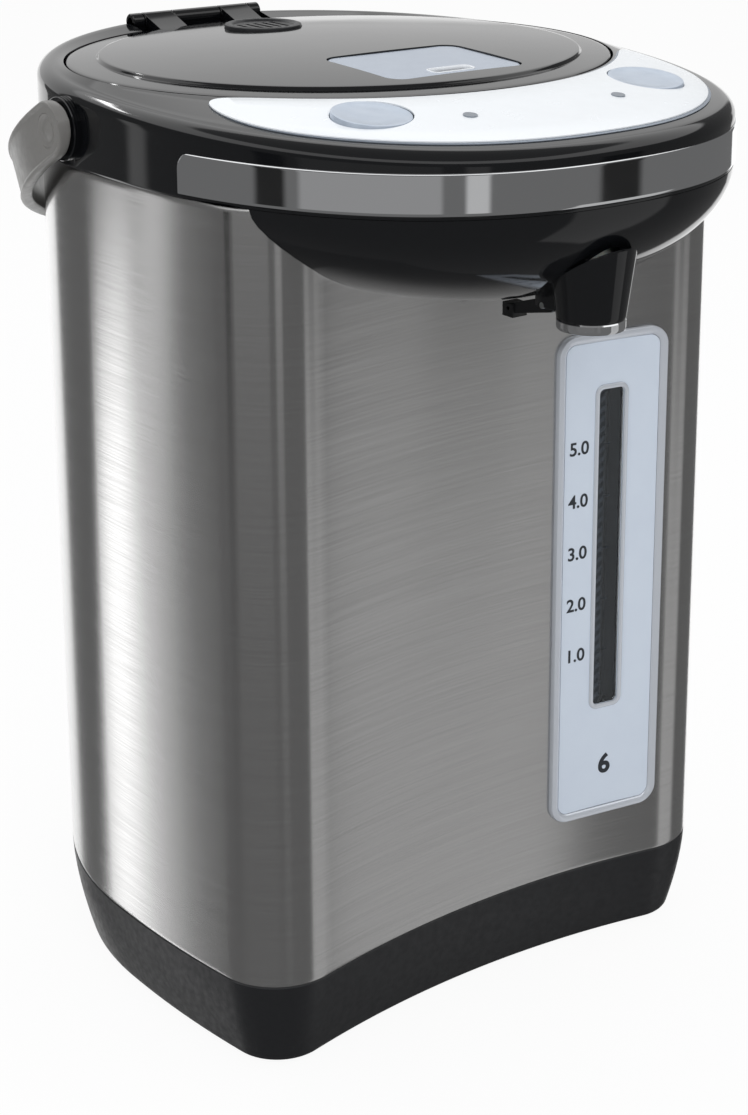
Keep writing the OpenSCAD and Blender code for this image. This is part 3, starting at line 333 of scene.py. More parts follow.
# ---- vessel, heater and pump ----
# The inner vessel is drawn from bright stainless steel. A cast heater plate is
# pressed on its bottom, mica and a shield keep the heat in, and a small
# centrifugal pump lifts the water through silicone hoses.
inner_steel, tree, shader = finish("bright_stainless_steel", "#c8c6c3", {"Metallic": 1, "Roughness": 0.18})
vary(tree, shader, "Roughness", 0.14, 0.26, 6)
dress("inner_vessel strainer heat_shield lid_underplate outlet_pipe", inner_steel)
silicone, tree, shader = finish("moulded_silicone", "#dcd9d0", {"Roughness": 0.5, "IOR": 1.43,
                                                                "Subsurface Weight": 0.2})
tint(tree, shader, "#d3cfc5", "#e6e3da", 12)
grain(tree, shader, 1.5, 0.02)
dress("inlet_hose riser_hose outlet_hose tube_couplings vessel_seal lid_seal", silicone)
white_plastic, tree, shader = finish("moulded_polyamide_white", "#e4e0d6", {"Roughness": 0.5, "IOR": 1.53})
grain(tree, shader, 1, 0.02)
dress("pump_body thermostats", white_plastic)
heater, tree, shader = finish("cast_aluminium", "#9a9c9e", {"Metallic": 1, "Roughness": 0.55})
grain(tree, shader, 1.2, 0.08)
dress("heater_plate", heater)
mica, tree, shader = finish("pressed_mica", "#a58f6b", {"Roughness": 0.45, "IOR": 1.58})
tint(tree, shader, "#8f7a58", "#bfa982", 5)
dress("keep_warm_band", mica)

# ---- power inlet ----
# A moulded socket for the mains lead, set in the casing low at the back, with
# two nickel-plated pins.
inlet_black, tree, shader = finish("moulded_bakelite_black", "#18191b", {"Roughness": 0.4, "IOR": 1.6})
grain(tree, shader, 0.8, 0.02)
dress("power_inlet", inlet_black)

# ---- head ----
# The head carries the lid, the controls and the handle. It is moulded in ABS
# and polished to a high gloss, with a rounded rim and a sloping deck.
beak_reach, beak_power, head_proud = 160.7, 2.35, 1
rim_h, rim_slope, rim_edge, head_t = 29, 0.04, 6.6, 2.4
band_z0, band_h, band_proud, band_end, band_seat = top_z + 1.4, 14.8, 0.6, 59, 1.4
head_w2, head_back = body_w / 2 + head_proud, body_back + head_proud
seam_h, lid_side, lid_back, lid_b, lid_gap = 31.6, 12.4, 17.3, 102.9, 0.8
lid_a, lid_y, seam_z = head_w2 - lid_side, head_back - lid_back - lid_b, top_z + seam_h
collar_z = seam_z - 10


def oval(a, front, back, power, y):
    """An oval with a squarer front, from the middle of the back round the right side."""
    rear = [(a * math.sin(t), y + back * math.cos(t)) for t in steps(0, math.pi / 2, 60)]
    fore = [(a * math.cos(t) ** (2 / power), y - front * math.sin(t) ** (2 / power))
            for t in steps(0, math.pi / 2, 90)[1:-1]]
    return mirrored(rear + fore + [(0, y - front)])


def squarish(share, power):
    """A share of the half width, from -1 to 1, of an oval with squarer corners."""
    return math.copysign(abs(share) ** (2 / power), share)


def head_outline(inset):
    return oval(head_w2 - inset, beak_reach - inset, head_back - inset, beak_power, 0)


def lid_outline(inset):
    return oval(lid_a - inset, lid_b - inset, lid_b - inset, 2, lid_y)


def rim_z(y):
    return top_z + rim_h + rim_slope * y


def rim_ring(angle, inset):
    drop = inset * math.sin(angle) + (rim_edge - inset) * (1 - math.sin(angle)) * 0.8
    round_in = (rim_edge - inset) * (1 - math.cos(angle))
    return [(x, y, rim_z(y) - drop) for x, y in head_outline(inset + round_in)]


def between(ring, other, u):
    return [tuple(a[k] * (1 - u) + b[k] * u for k in range(3)) for a, b in zip(ring, other)]


gloss_black, tree, shader = finish("polished_abs_black", "#0d0e10", {"Roughness": 0.07, "IOR": 1.53})
vary(tree, shader, "Roughness", 0.05, 0.1, 30)
grain(tree, shader, 26, 0.03)           # a long soft wave, as a moulded gloss wall has

quarter = steps(0, math.pi / 2, 10)
seam_ring = level(lid_outline(-lid_gap), seam_z)
edge_ring = rim_ring(math.pi / 2, 0)
deck_rings = [between(edge_ring, seam_ring, u) for u in (0.25, 0.5, 0.75, 0.97)]
head = skin("head_moulded",
            [level(head_outline(0.5), top_z), level(head_outline(0.12), top_z + 0.15),
             level(head_outline(0), top_z + 0.5), level(head_outline(0), top_z + 1.2),
             [(x, y, z - 0.8) for x, y, z in rim_ring(0, 0)]]
            + [rim_ring(a, 0) for a in quarter] + deck_rings
            + [level(lid_outline(-lid_gap - 0.15), seam_z - 0.12),
               level(lid_outline(-lid_gap), seam_z - 0.5),
               level(lid_outline(-lid_gap), collar_z), level(lid_outline(-lid_gap - head_t), collar_z),
               level(lid_outline(-lid_gap - head_t), seam_z - head_t)]
            + [rim_ring(a, head_t) for a in reversed(quarter[::2])]
            + [level(head_outline(head_t), top_z)], closed=True)


# The nose's samples lie closer at its two ends, where the band is rounded off.
end_share = [0, 0.0004, 0.001, 0.0018, 0.0028, 0.004, 0.0055, 0.0072, 0.009]
nose_share = end_share + steps(0.012, 0.988, 150) + [1 - u for u in reversed(end_share)]


def nose_line(inset):
    """The head's outline round the beak, between the two ends of the chrome band."""
    a, b = head_w2 - inset, beak_reach - inset
    end = math.asin((band_end / b) ** (beak_power / 2))
    line = []
    for u in nose_share:
        t = end + (math.pi - 2 * end) * u
        line.append((squarish(math.cos(t), beak_power) * a, -b * math.sin(t) ** (2 / beak_power)))
    return line


# The band's top edge falls round a quarter circle at each end.
band_end_r = 5
run = [0]
for a, b in zip(nose_line(-band_proud), nose_line(-band_proud)[1:]):
    run.append(run[-1] + math.dist(a, b))
band_tops = []
for along in run:
    near = min(along, run[-1] - along)
    fall = band_end_r - math.sqrt(band_end_r ** 2 - (band_end_r - near) ** 2) if near < band_end_r else 0
    band_tops.append(band_z0 + band_h - fall)
seat = [[(*out, band_z0), (*out, top), (*deep, top), (*deep, band_z0)]
        for out, deep, top in zip(nose_line(-3), nose_line(band_seat), band_tops)]
carve(head, skin("seat", seat))


def turned(name, profile, centre, axis="Z", sides=64, closed=False):
    """A turned piece: its profile gives (radius, place along the axis) from the centre."""
    rings = []
    for radius, along in profile:
        ring = []
        for k in range(sides):
            u, v = radius * math.cos(math.tau * k / sides), radius * math.sin(math.tau * k / sides)
            offset = {"X": (along, u, v), "Y": (v, along, u), "Z": (u, v, along)}[axis]
            ring.append(tuple(c + d for c, d in zip(centre, offset)))
        rings.append(ring)
    return skin(name, rings, closed)


hinge_y, hinge_z, hinge_r = head_back - lid_back + 7.3, seam_z + 2.4, 3.6
pivot_y, pivot_z, pivot_r, boss_r, boss_x = 12, top_z + 14.5, 4.5, 12, head_w2 + 3
catch_w, latch_t, latch_z = 80, 2.5, seam_z - 9.6


def hinge_tube(x0, x1):
    """A length of the hinge's tube, with a small chamfer at both ends."""
    ends = [(hinge_r - 0.4, x0), (hinge_r, x0 + 0.4), (hinge_r, x1 - 0.4), (hinge_r - 0.4, x1)]
    return turned("hinge_tube", ends, (0, hinge_y, hinge_z), "X")


# The head's three ears stand in a recess, and the lid's two knuckles go between them.
ears = (-32, -26.5), (-11.5, 11.5), (26.5, 32)
recess = ears[-1][1] + 0.6
carve(head, block(-recess, recess, lid_y + lid_b - 8, hinge_y + 5.6, hinge_z - 6, hinge_z + 20))
carve(head, block(-catch_w / 2, catch_w / 2, lid_y - lid_b - lid_gap - head_t - 1, lid_y - lid_b + 12,
                  collar_z - 1, latch_z + latch_t + 0.6))
for x0, x1 in ears:
    carve(head, hinge_tube(x0, x1), "UNION")
    carve(head, block(x0, x1, hinge_y - 3, hinge_y + 3, hinge_z - 8, hinge_z), "UNION")
for side in (1, -1):
    # Three ribs run round each boss between the head and the handle.
    ribs = [(boss_r, head_w2 - 3)]
    for k in range(3):
        x = head_w2 - 0.4 + 1.1 * k
        ribs += [(boss_r, x), (boss_r - 0.6, x + 0.25), (boss_r - 0.6, x + 0.5), (boss_r, x + 0.75)]
    ribs += [(boss_r, boss_x - 0.3), (boss_r - 0.3, boss_x)]
    carve(head, turned("boss", [(r, side * x) for r, x in ribs], (0, pivot_y, pivot_z), "X"), "UNION")
    carve(head, turned("pivot_hole", [(pivot_r, side * (head_w2 - 10)), (pivot_r, side * (boss_x + 1))],
                       (0, pivot_y, pivot_z), "X"))
fit(head, "root", ["head_shell"], gloss_black)

# ---- chrome band ----
# A strip of chrome-plated ABS snaps into a seat round the front of the head.
# Its top edge is bevelled and its ends are rounded off.
chrome, tree, shader = finish("chrome_plated_abs", "#e6e7e9", {"Metallic": 1, "Roughness": 0.04})
vary(tree, shader, "Roughness", 0.03, 0.07, 20)
grain(tree, shader, 18, 0.01)


def band_section(top):
    """The band's section up to a height: (inset from the head's outline, z)."""
    return [(band_seat, band_z0), (-band_proud + 0.5, band_z0), (-band_proud + 0.12, band_z0 + 0.18),
            (-band_proud, band_z0 + 0.6), (-band_proud, band_z0 + 1.2), (-band_proud, top - 1.3),
            (-band_proud, top - 0.7), (-band_proud + 0.1, top - 0.35),
            (-band_proud + 0.3, top - 0.1), (-band_proud + 0.6, top), (band_seat, top)]


lines = {i: nose_line(i) for i in {i for i, z in band_section(0)}}
rings = [[(*lines[i][k], z) for i, z in band_section(top)] for k, top in enumerate(band_tops)]
band = skin("chrome_strip", rings)
fit(band, "root", ["chrome_band"], chrome)

# ---- beak cover ----
# The bowl under the beak hides the outlet hose and the spout. It is moulded in
# the same gloss black as the head, and clips to the head's lower edge.
bowl_depth, bowl_y, bowl_flat, bowl_curve = 45, -92, 1.9, 0.56
spout_inset, spout_drop = 16.2, 47.5
spout_y, spout_z = -(beak_reach - spout_inset), top_z - spout_drop
spout_r, hood_r, ring_h, neck_r = 12.5, 16.4, 4, 14.3
spout_bore = spout_r - 2
lever_y, lever_z, lever_w, lever_pin_r = spout_y + 20.3, spout_z + 4.8, 5, 1.2


def bowl_ring(t, inset):
    k = (1 - t ** bowl_flat) ** bowl_curve
    z = top_z - t * (bowl_depth - inset)
    return [(x * k, bowl_y + (y - bowl_y) * k, z) for x, y in head_outline(inset)]


bowl_steps = [0.995, 0.99, 0.98, 0.965, 0.945, 0.92, 0.89, 0.85, 0.8, 0.75, 0.69, 0.62, 0.55, 0.47, 0.39,
              0.3, 0.22, 0.14, 0.07, 0]
bowl = skin("beak_bowl", [bowl_ring(t, 0) for t in bowl_steps]
            + [bowl_ring(t, head_t) for t in bowl_steps[::-1]])
carve(bowl, block(-200, 200, front_at(0) + 3.4, 300, 0, 500))
carve(bowl, skin("casing_room", [level(body_outline(-0.2), 200), level(body_outline(-0.2), 400)]))
carve(bowl, turned("spout_room", [(spout_bore, spout_z - 20), (spout_bore, top_z)], (0, spout_y, 0)))
carve(bowl, turned("plunger_hole", [(1.8, spout_z), (1.8, top_z - bowl_depth + 8)], (0, lever_y + 9.5, 0)))
fit(bowl, "root", ["beak_cover"], gloss_black, 40)

# ---- spout ----
# A gloss hood tapers down from the bowl to a chrome ring, round the steel pipe
# that the water leaves by. Its top edge slants, and a neck joins it to the bowl.
round_sides = 96                        # the spout's pieces are turned finer than the rest
ring_profile = [(spout_bore, 0.6), (spout_bore + 0.5, 0), (spout_r - 0.9, 0), (spout_r - 0.2, 0.3),
                (spout_r, 0.9), (spout_r, 1.4), (spout_r, ring_h - 0.9), (spout_r, ring_h - 0.5),
                (spout_r - 0.35, ring_h), (spout_bore, ring_h)]
ring = turned("spout_ring_turned", ring_profile, (0, spout_y, spout_z), sides=round_sides, closed=True)
fit(ring, "root", ["spout_ring"], chrome)

hood_z, slant, slant_z = spout_z + ring_h, math.tan(math.radians(33)), spout_z + 21.3
flare = (hood_r - spout_r) / 30


def hood_ring(u, inset, sink=0):
    """A ring of the hood, from its foot to the slanted edge of its mouth."""
    points = []
    for k in range(round_sides):
        angle = math.tau * k / round_sides
        lean = slant * math.sin(angle)
        edge = (slant_z - lean * (spout_r - inset - flare * hood_z)) / (1 + lean * flare)
        z = hood_z + (edge - hood_z) * u - sink
        r = spout_r + flare * (z - hood_z) - inset
        points.append((r * math.cos(angle), spout_y + r * math.sin(angle), z))
    return points


hood_steps = (0.05, 0.25, 0.5, 0.75, 0.96, 0.985)
hood = skin("hood_moulded",
            [hood_ring(0, 0.3), hood_ring(0.02, 0)] + [hood_ring(u, 0) for u in hood_steps]
            + [hood_ring(1, 0.15), hood_ring(1, 0.4), hood_ring(1, 1.1), hood_ring(1, 1.4, 0.2),
               hood_ring(1, 1.6, 1)])
neck_y = spout_y + 5                    # the neck stands a little behind the spout
neck = arc((0, neck_y), neck_r, 0, math.tau, round_sides)[:-1]
neck_foot = [(x, y, slant_z - 1.2 - (y - spout_y) * slant) for x, y in neck]
carve(hood, skin("neck", [neck_foot, level(neck, top_z)]), "UNION")
cheeks = block(-6, 6, spout_y + 9, lever_y + 4, hood_z, spout_z + 14)
soften(cheeks, 0.6)
carve(hood, cheeks, "UNION")
carve(hood, skin("bowl_room", [bowl_ring(t, 0) for t in bowl_steps]))
carve(hood, turned("bore", [(spout_bore, spout_z - 1), (spout_bore, top_z + 1)], (0, spout_y, 0)))
slot_half = lever_w / 2 + slack
carve(hood, block(-slot_half, slot_half, lever_y - 6, lever_y + 5, spout_z - 1, spout_z + 30))
carve(hood, turned("pin_hole", [(lever_pin_r, -7), (lever_pin_r, 7)], (0, lever_y, lever_z), "X"))
fit(hood, "root", ["spout_hood"], gloss_black)

# ---- cup lever ----
# A cup pushed under the spout tips this lever, which turns on a steel pin in the
# hood. It is moulded in black acetal, with a pad for the cup at its end.
acetal, tree, shader = finish("moulded_acetal_black", "#121315", {"Roughness": 0.35, "IOR": 1.48})
vary(tree, shader, "Roughness", 0.28, 0.42, 2)
grain(tree, shader, 0.5, 0.01)
arm = [(lever_y - 1, lever_z - 3), (lever_y + 1.4, lever_z + 2.4), (lever_y + 21, lever_z - 4),
       (lever_y + 21, lever_z - 8)]
lever = skin("cup_lever_moulded", [[(x, y, z) for y, z in arm] for x in (-lever_w / 2, lever_w / 2)])
lever_boss = turned("lever_boss", [(3, -lever_w / 2), (3, lever_w / 2)], (0, lever_y, lever_z), "X", 32)
carve(lever, lever_boss, "UNION")
carve(lever, block(-3.4, 3.4, lever_y + 19.5, lever_y + 25.5, spout_z - 4.6, spout_z + 0.6), "UNION")
soften(lever, 0.35)
hole_r = lever_pin_r + 0.05
carve(lever, turned("pin_hole", [(hole_r, -4), (hole_r, 4)], (0, lever_y, lever_z), "X", 32))
carve(lever, turned("eye", [(0.8, -5), (0.8, 5)], (0, lever_y + 22.3, spout_z - 1.4), "X", 24))
fit(lever, "lever", ["cup_lever"], acetal)

# ---- controls ----
# A printed film of white acrylic lies on the deck round the front of the lid,
# in a thin silver edge, with two round buttons and two lamps.
panel_turn, panel_in, panel_out, panel_mid = math.radians(27), 0.05, 0.92, 0.4
panel_t, bezel_t, bezel_edge, end_power = 0.6, 0.4, 0.025, 14
button_r, button_turn, lamp_turn, lamp_r, lamp_u = 14.5, math.radians(57), math.radians(74), 2.6, 0.46


def deck(turn, u, up=0):
    """A point of the deck at an angle round it, from the lid's seam to the rim."""
    seam = (lid_a + lid_gap) * math.cos(turn), lid_y - (lid_b + lid_gap) * math.sin(turn)
    side = squarish(math.cos(turn), beak_power)
    rim = (head_w2 - rim_edge) * side, -(beak_reach - rim_edge) * math.sin(turn) ** (2 / beak_power)
    z = seam_z + (rim_z(rim[1]) - seam_z) * u
    return Vector((seam[0] + (rim[0] - seam[0]) * u, seam[1] + (rim[1] - seam[1]) * u, z + up))


def strip(name, u0, u1, z0, z1, edge):
    """A strip that lies on the deck between two parts of its width, with round ends."""
    rings = []
    for v in [-math.cos(a) for a in steps(0.02, math.pi - 0.02, 120)]:
        half = (u1 - u0) / 2 * math.sqrt(1 - abs(v) ** end_power)
        turn, mid = math.pi / 2 + v * (math.pi / 2 - panel_turn), (u0 + u1) / 2
        rings.append([deck(turn, mid + w * half, z)
                      for w, z in ((-1, z0), (-1, z1 - edge), (-0.985, z1), (-0.5, z1), (0, z1), (0.5, z1),
                                   (0.985, z1), (1, z1 - edge), (1, z0), (0, z0))])
    return skin(name, rings)


silver_paint, tree, shader = finish("silver_lacquer", "#99a2ae",
                                    {"Metallic": 0.7, "Roughness": 0.34, "IOR": 1.5})
grain(tree, shader, 0.5, 0.01)
white_film, tree, shader = finish("printed_acrylic_film", "#eef2f6", {"Roughness": 0.22, "IOR": 1.49})
vary(tree, shader, "Roughness", 0.18, 0.28, 8)
grain(tree, shader, 0.8, 0.004)
button_at, lamp_at = deck(button_turn, panel_mid), deck(lamp_turn, lamp_u)
rim_y = -(beak_reach - rim_edge) * math.sin(button_turn) ** (2 / beak_power)
seam_y = lid_y - (lid_b + lid_gap) * math.sin(button_turn)
deck_tilt = math.atan2(seam_z - rim_z(rim_y), seam_y - rim_y)


def on_deck(piece, at, side):
    """Tilt a piece that was made about the origin, and set it on the deck."""
    spot = metres((side * at.x, at.y, at.z))
    piece.data.transform(Matrix.Translation(spot) @ Matrix.Rotation(deck_tilt, 4, "X")
                         @ Matrix.Translation(-metres((0, 0, 0))))


bezel = strip("panel_edge", panel_in - bezel_edge, panel_out + bezel_edge, 0.05, bezel_t, 0.1)
panel = strip("panel_film", panel_in, panel_out, bezel_t + 0.06, bezel_t + panel_t, 0.12)
for piece in (bezel, panel):
    for side in (1, -1):
        for at, r in ((button_at, button_r + 0.3), (lamp_at, lamp_r)):
            hole = turned("hole", [(r, -5), (r, 5)], (0, 0, 0))
            on_deck(hole, at, side)
            carve(piece, hole)
for side in (1, -1):
    well = turned("well", [(button_r + 0.3, -9), (button_r + 0.3, 5)], (0, 0, 0))
    on_deck(well, button_at, side)
    carve(head, well)
head.data.set_sharp_from_angle(angle=math.radians(30))
fit(bezel, "root", ["panel_bezel"], silver_paint)
fit(panel, "root", ["control_panel"], white_film)

# The buttons are lacquered discs with a soft dish and a bright turned edge.
button_blue, tree, shader = finish("pearl_lacquer", "#bac5d4",
                                   {"Metallic": 0.35, "Roughness": 0.3, "IOR": 1.5})
tint(tree, shader, "#b0bccc", "#c6d0dd", 6)
top = bezel_t + panel_t + 0.6
disc_profile = [(3, -8), (3, -4), (button_r, -4), (button_r, top - 0.5), (button_r - 0.2, top - 0.12),
                (button_r - 0.7, top), (button_r - 1.6, top - 0.05), (button_r - 2.4, top - 0.3),
                (button_r * 0.5, top - 0.4), (0.3, top - 0.42)]
for side, name in ((1, "right_button"), (-1, "left_button")):
    disc = turned(name + "_disc", disc_profile, (0, 0, 0))
    on_deck(disc, button_at, side)
    fit(disc, name, [name], button_blue)

# Each lamp is a small clear lens, dull while it is off.
lens, tree, shader = finish("moulded_lens_smoke", "#8f98a3", {"Roughness": 0.15, "IOR": 1.49,
                                                              "Transmission Weight": 0.3})
tint(tree, shader, "#848d99", "#9aa3ae", 1.5)
dress("indicator_lenses", lens)
board, tree, shader = finish("glass_epoxy_board", "#2f6b45", {"Roughness": 0.35, "IOR": 1.55})
tint(tree, shader, "#285e3c", "#3a7a52", 3)
dress("control_board", board)

# ---- lid ----
# A round lid moulded in gloss black, with a step round its raised middle. It
# turns on two knuckles at the back, and a plate with a plug hangs under it.
lid_rise, lid_t, step_h, step_at, lid_edge = 5, 2.6, 1.2, 0.885, seam_z - 8
dome_curve, step_run = 2.2, 0.012
press_w, press_l, press_y, press_t = 62, 48, lid_y - 54.8, 2
vent_y, vent_r = lid_y + 56, 16


def dome(s):
    """The height of the lid's top at a share of the way from its middle to its edge."""
    rise = min(max((step_at + 0.008 - s) / step_run, 0), 1)
    return seam_z + (lid_rise - step_h) * (1 - s ** dome_curve) + step_h * rise * rise * (3 - 2 * rise)


def lid_ring(s, inset, z):
    return [(x * s, lid_y + (y - lid_y) * s, z) for x, y in lid_outline(inset)]


def round_rect(w, h, r, count=12):
    a, b = w / 2 - r, h / 2 - r
    corners = ((a, b, 0), (-a, b, 1), (-a, -b, 2), (a, -b, 3))
    return [p for x, y, k in corners for p in arc((x, y), r, k * math.pi / 2, (k + 1) * math.pi / 2, count)]


def shifted(outline, dx, dy):
    return [(x + dx, y + dy) for x, y in outline]


fine = [0.01, 0.06, 0.14, 0.24, 0.36, 0.48, 0.6, 0.7, 0.78, 0.84, 0.87, 0.881, 0.8825, 0.884, 0.886, 0.888,
        0.8895, 0.891, 0.8925, 0.894, 0.91, 0.94, 0.97, 0.985]
lid = skin("lid_moulded",
           [lid_ring(s, 0, dome(s)) for s in fine]
           + [level(lid_outline(0.9), dome(1) + 0.02), level(lid_outline(0.4), seam_z - 0.12),
              level(lid_outline(0.1), seam_z - 0.4), level(lid_outline(0), seam_z - 0.9),
              level(lid_outline(0), lid_edge), level(lid_outline(lid_t), lid_edge),
              level(lid_outline(lid_t), seam_z - lid_t)]
           + [lid_ring(s, lid_t, dome(s) - lid_t) for s in (0.97, 0.9, 0.87, 0.7, 0.48, 0.24, 0.05)])
hole = shifted(round_rect(press_w + 2 * slack, press_l + 2 * slack, 7), 0, press_y)
carve(lid, skin("press_room", [level(hole, lid_edge), level(hole, lid_edge + 40)]))
vent_seat, vent_top = dome(0.7) - 0.3, dome(0.38) + 1
vent_room = [(vent_r - 3.2, lid_edge), (vent_r - 3.2, vent_seat), (vent_r + 0.2, vent_seat),
             (vent_r + 0.2, seam_z + 20)]
carve(lid, turned("vent_room", vent_room, (0, vent_y, 0)))
latch_w = 20
carve(lid, block(-latch_w / 2 - slack, latch_w / 2 + slack, lid_y - lid_b - 5, lid_y - lid_b + 12,
                 lid_edge - 1, latch_z + latch_t + slack))
for side in (1, -1):
    x0, x1 = sorted((side * 12, side * 26))
    carve(lid, hinge_tube(x0, x1), "UNION")
    arm = [(lid_y + lid_b - 7.5, seam_z - 2.5), (lid_y + lid_b - 7.5, seam_z + 0.6),
           (hinge_y - 0.5, hinge_z + hinge_r - 0.1), (hinge_y, hinge_z),
           (hinge_y - 1, hinge_z - hinge_r + 0.2)]
    carve(lid, skin("arm", [[(x, y, z) for y, z in arm] for x in (x0 + 0.2, x1 - 0.2)]), "UNION")
fit(lid, "lid", ["lid_shell"], gloss_black, 25)

# ---- steam vent ----
# A round black grille snaps into the lid, where the steam leaves. Five slots
# run through its sunken middle.
vent = turned("steam_vent_grille",
              [(vent_r - 3.2, seam_z - 7.5), (vent_r - 3.2, vent_seat), (vent_r, vent_seat),
               (vent_r, vent_top - 0.8), (vent_r - 0.25, vent_top - 0.25), (vent_r - 0.9, vent_top),
               (vent_r - 2.2, vent_top),
               (vent_r - 3, vent_top - 0.3), (vent_r - 3.6, vent_top - 0.9), (vent_r - 6, vent_top - 1),
               (0.3, vent_top - 1), (0.3, vent_top - 2.3), (vent_r - 5, vent_top - 2.3),
               (vent_r - 5, seam_z - 7.5)],
              (0, vent_y, 0), closed=True)
for x in (-8, -4, 0, 4, 8):
    carve(vent, block(x - 0.8, x + 0.8, vent_y - 7, vent_y + 7, vent_top - 4, vent_top + 1))
fit(vent, "lid", ["steam_vent"], satin_black)

# ---- press plate ----
# The plate of the hand pump, lacquered in a pale blue grey. It lies flush in the
# lid, and a finger reaches the latch through its slot.
plate_blue, tree, shader = finish("blue_grey_lacquer", "#adb7c6",
                                  {"Metallic": 0.25, "Roughness": 0.3, "IOR": 1.5})
tint(tree, shader, "#a8b2c1", "#b5bfcd", 9)
grain(tree, shader, 0.6, 0.006)
slot_w, slot_l, slot_y, stem_r = 20, 7.6, press_y - 16.5, 3
bellows_y, bellows_r = press_y + 6, 16


def press_z(x, y):
    """The plate's top lies just below the dome of the lid."""
    return dome(math.hypot(x / lid_a, (y - lid_y) / lid_b)) - 0.35


def press_ring(inset, down):
    """A ring of the press plate, by how far it is drawn in and how deep it lies."""
    return [(x, press_y + y, press_z(x, press_y + y) - down)
            for x, y in round_rect(press_w - 2 * inset, press_l - 2 * inset, 6.6 - inset)]


press = skin("press_plate_moulded",
             [press_ring(0, press_t), press_ring(0, 0.8), press_ring(0.15, 0.35), press_ring(0.5, 0.08),
              press_ring(1.1, 0), press_ring(3, 0), press_ring(6.4, 0)])
slot = shifted(round_rect(slot_w, slot_l, 2.8), 0, slot_y)
carve(press, skin("slot", [level(slot, seam_z - 10), level(slot, seam_z + 30)]))
post_r, stem_foot = bellows_r - 2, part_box("press_plate")[0].z * 1000
for radius, low, high in ((post_r, seam_z - 1.9, seam_z + 3), (stem_r, stem_foot, seam_z)):
    carve(press, turned("post", [(radius, low), (radius, high)], (0, bellows_y, 0)), "UNION")
fit(press, "press", ["press_plate"], plate_blue)

# A liner stands round the finger slot. It and the latch below it are coloured white as a painted highlight,
# standing for the light that the slot's edges catch.
painted_glint_white, tree, shader = finish("abs_white_painted_highlight", "#e9edf2", {"Roughness": 0.25, "IOR": 1.53})
vary(tree, shader, "Roughness", 0.2, 0.32, 4)


def slot_ring(inset, down):
    return [(x, y, press_z(x, y) - down)
            for x, y in shifted(round_rect(slot_w - 2 * inset, slot_l - 2 * inset, 2.8 - inset), 0, slot_y)]


liner = skin("slot_liner", [slot_ring(0.02, press_t - 0.1), slot_ring(0.02, -0.1), slot_ring(0.25, -0.2),
                            slot_ring(0.7, -0.1), slot_ring(0.8, press_t - 0.1)], closed=True)
liner.data.materials.append(painted_glint_white)
liner.data.shade_smooth()
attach(liner, "press")
# The latch's white is the same painted highlight.
dress("lid_latch", painted_glint_white)

# ---- gauge ----
# A pale plate with a raised edge is stuck on the front. It has a clear window
# over the sight tube, and its numbers are printed in dark grey.
gauge_w, gauge_h, gauge_z, frame_w = 50, 206.5, 23.8, 3.6
gauge_mid = base_h + gauge_z + gauge_h / 2


def face_loop(w, h, r, out, z):
    return [(gauge_x + x, front_at(gauge_x + x, out), z + y) for x, y in round_rect(w, h, r)]


def face_slab(out, back=0):
    """A bowed slab over the gauge, to be cut to a shape."""
    rings = []
    for x in steps(gauge_x - gauge_w / 2 - 2, gauge_x + gauge_w / 2 + 2, 40):
        rings.append([(x, front_at(x, back), base_h), (x, front_at(x, out), base_h),
                      (x, front_at(x, out), top_z - 20), (x, front_at(x, back), top_z - 20)])
    return skin("slab", rings)


def face_tool(w, h, r, z):
    outline = round_rect(w, h, r)
    return skin("tool", [[(gauge_x + x, y, z + v) for x, v in outline] for y in (-130, -60)])


rim_profile = [(0, 0), (0, 1.3), (0.25, 1.9), (0.8, 2.2), (2.3, 2.2), (3.1, 1.75), (3.4, 1.4), (3.4, 0)]
gauge_frame = skin("gauge_rim", [face_loop(gauge_w - 2 * i, gauge_h - 2 * i, 8 - i, out, gauge_mid)
                                 for i, out in rim_profile], closed=True)
frame_paint, tree, shader = finish("silver_lacquer_pale", "#d3d8e0",
                                   {"Metallic": 0.4, "Roughness": 0.2, "IOR": 1.5})
grain(tree, shader, 0.5, 0.008)
fit(gauge_frame, "root", ["gauge_frame"], frame_paint)

plate_paint, tree, shader = finish("moulded_polycarbonate_grey", "#c6d0dd",
                                   {"Roughness": 0.35, "IOR": 1.58})
tint(tree, shader, "#c2ccda", "#cad4e0", 15)
grain(tree, shader, 0.6, 0.006)
plate = face_slab(1.4)
plate.name = "gauge_face"
carve(plate, face_tool(gauge_w - 2 * frame_w, gauge_h - 2 * frame_w, 8 - frame_w, gauge_mid), "INTERSECT")
carve(plate, face_tool(window_w, window_h, 2, window_mid))
fit(plate, "root", ["gauge_plate"], plate_paint)
thin_rim = ((0.02, 1.35), (0.02, 1.8), (0.2, 1.95), (1.6, 1.95), (1.9, 1.7), (1.9, 1.35))
window_rim = skin("window_rim", [face_loop(window_w + 2 * i, window_h + 2 * i, 2 + i, out, window_mid)
                                 for i, out in thin_rim], closed=True)
window_rim.data.materials.append(frame_paint)
window_rim.data.shade_smooth()
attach(window_rim, "root")

clear, tree, shader = finish("clear_acrylic", "#dfe6ec",
                             {"Roughness": 0.03, "IOR": 1.49, "Transmission Weight": 1})
vary(tree, shader, "Roughness", 0.02, 0.05, 20)
window = face_slab(1.1)
window.name = "gauge_glass"
carve(window, face_tool(window_w - 0.1, window_h - 0.1, 1.95, window_mid), "INTERSECT")
fit(window, "root", ["gauge_window"], clear)

backing, tree, shader = finish("printed_backing_dark", "#1d2127", {"Roughness": 0.6, "IOR": 1.5})
tint(tree, shader, "#181c22", "#252a31", 10)
dress("gauge_backing", backing)
tube_glass, tree, shader = finish("drawn_glass_tube", "#e8eef0",
                                  {"Roughness": 0.02, "IOR": 1.5, "Transmission Weight": 1})
vary(tree, shader, "Roughness", 0.01, 0.04, 20)
dress("sight_tube", tube_glass)

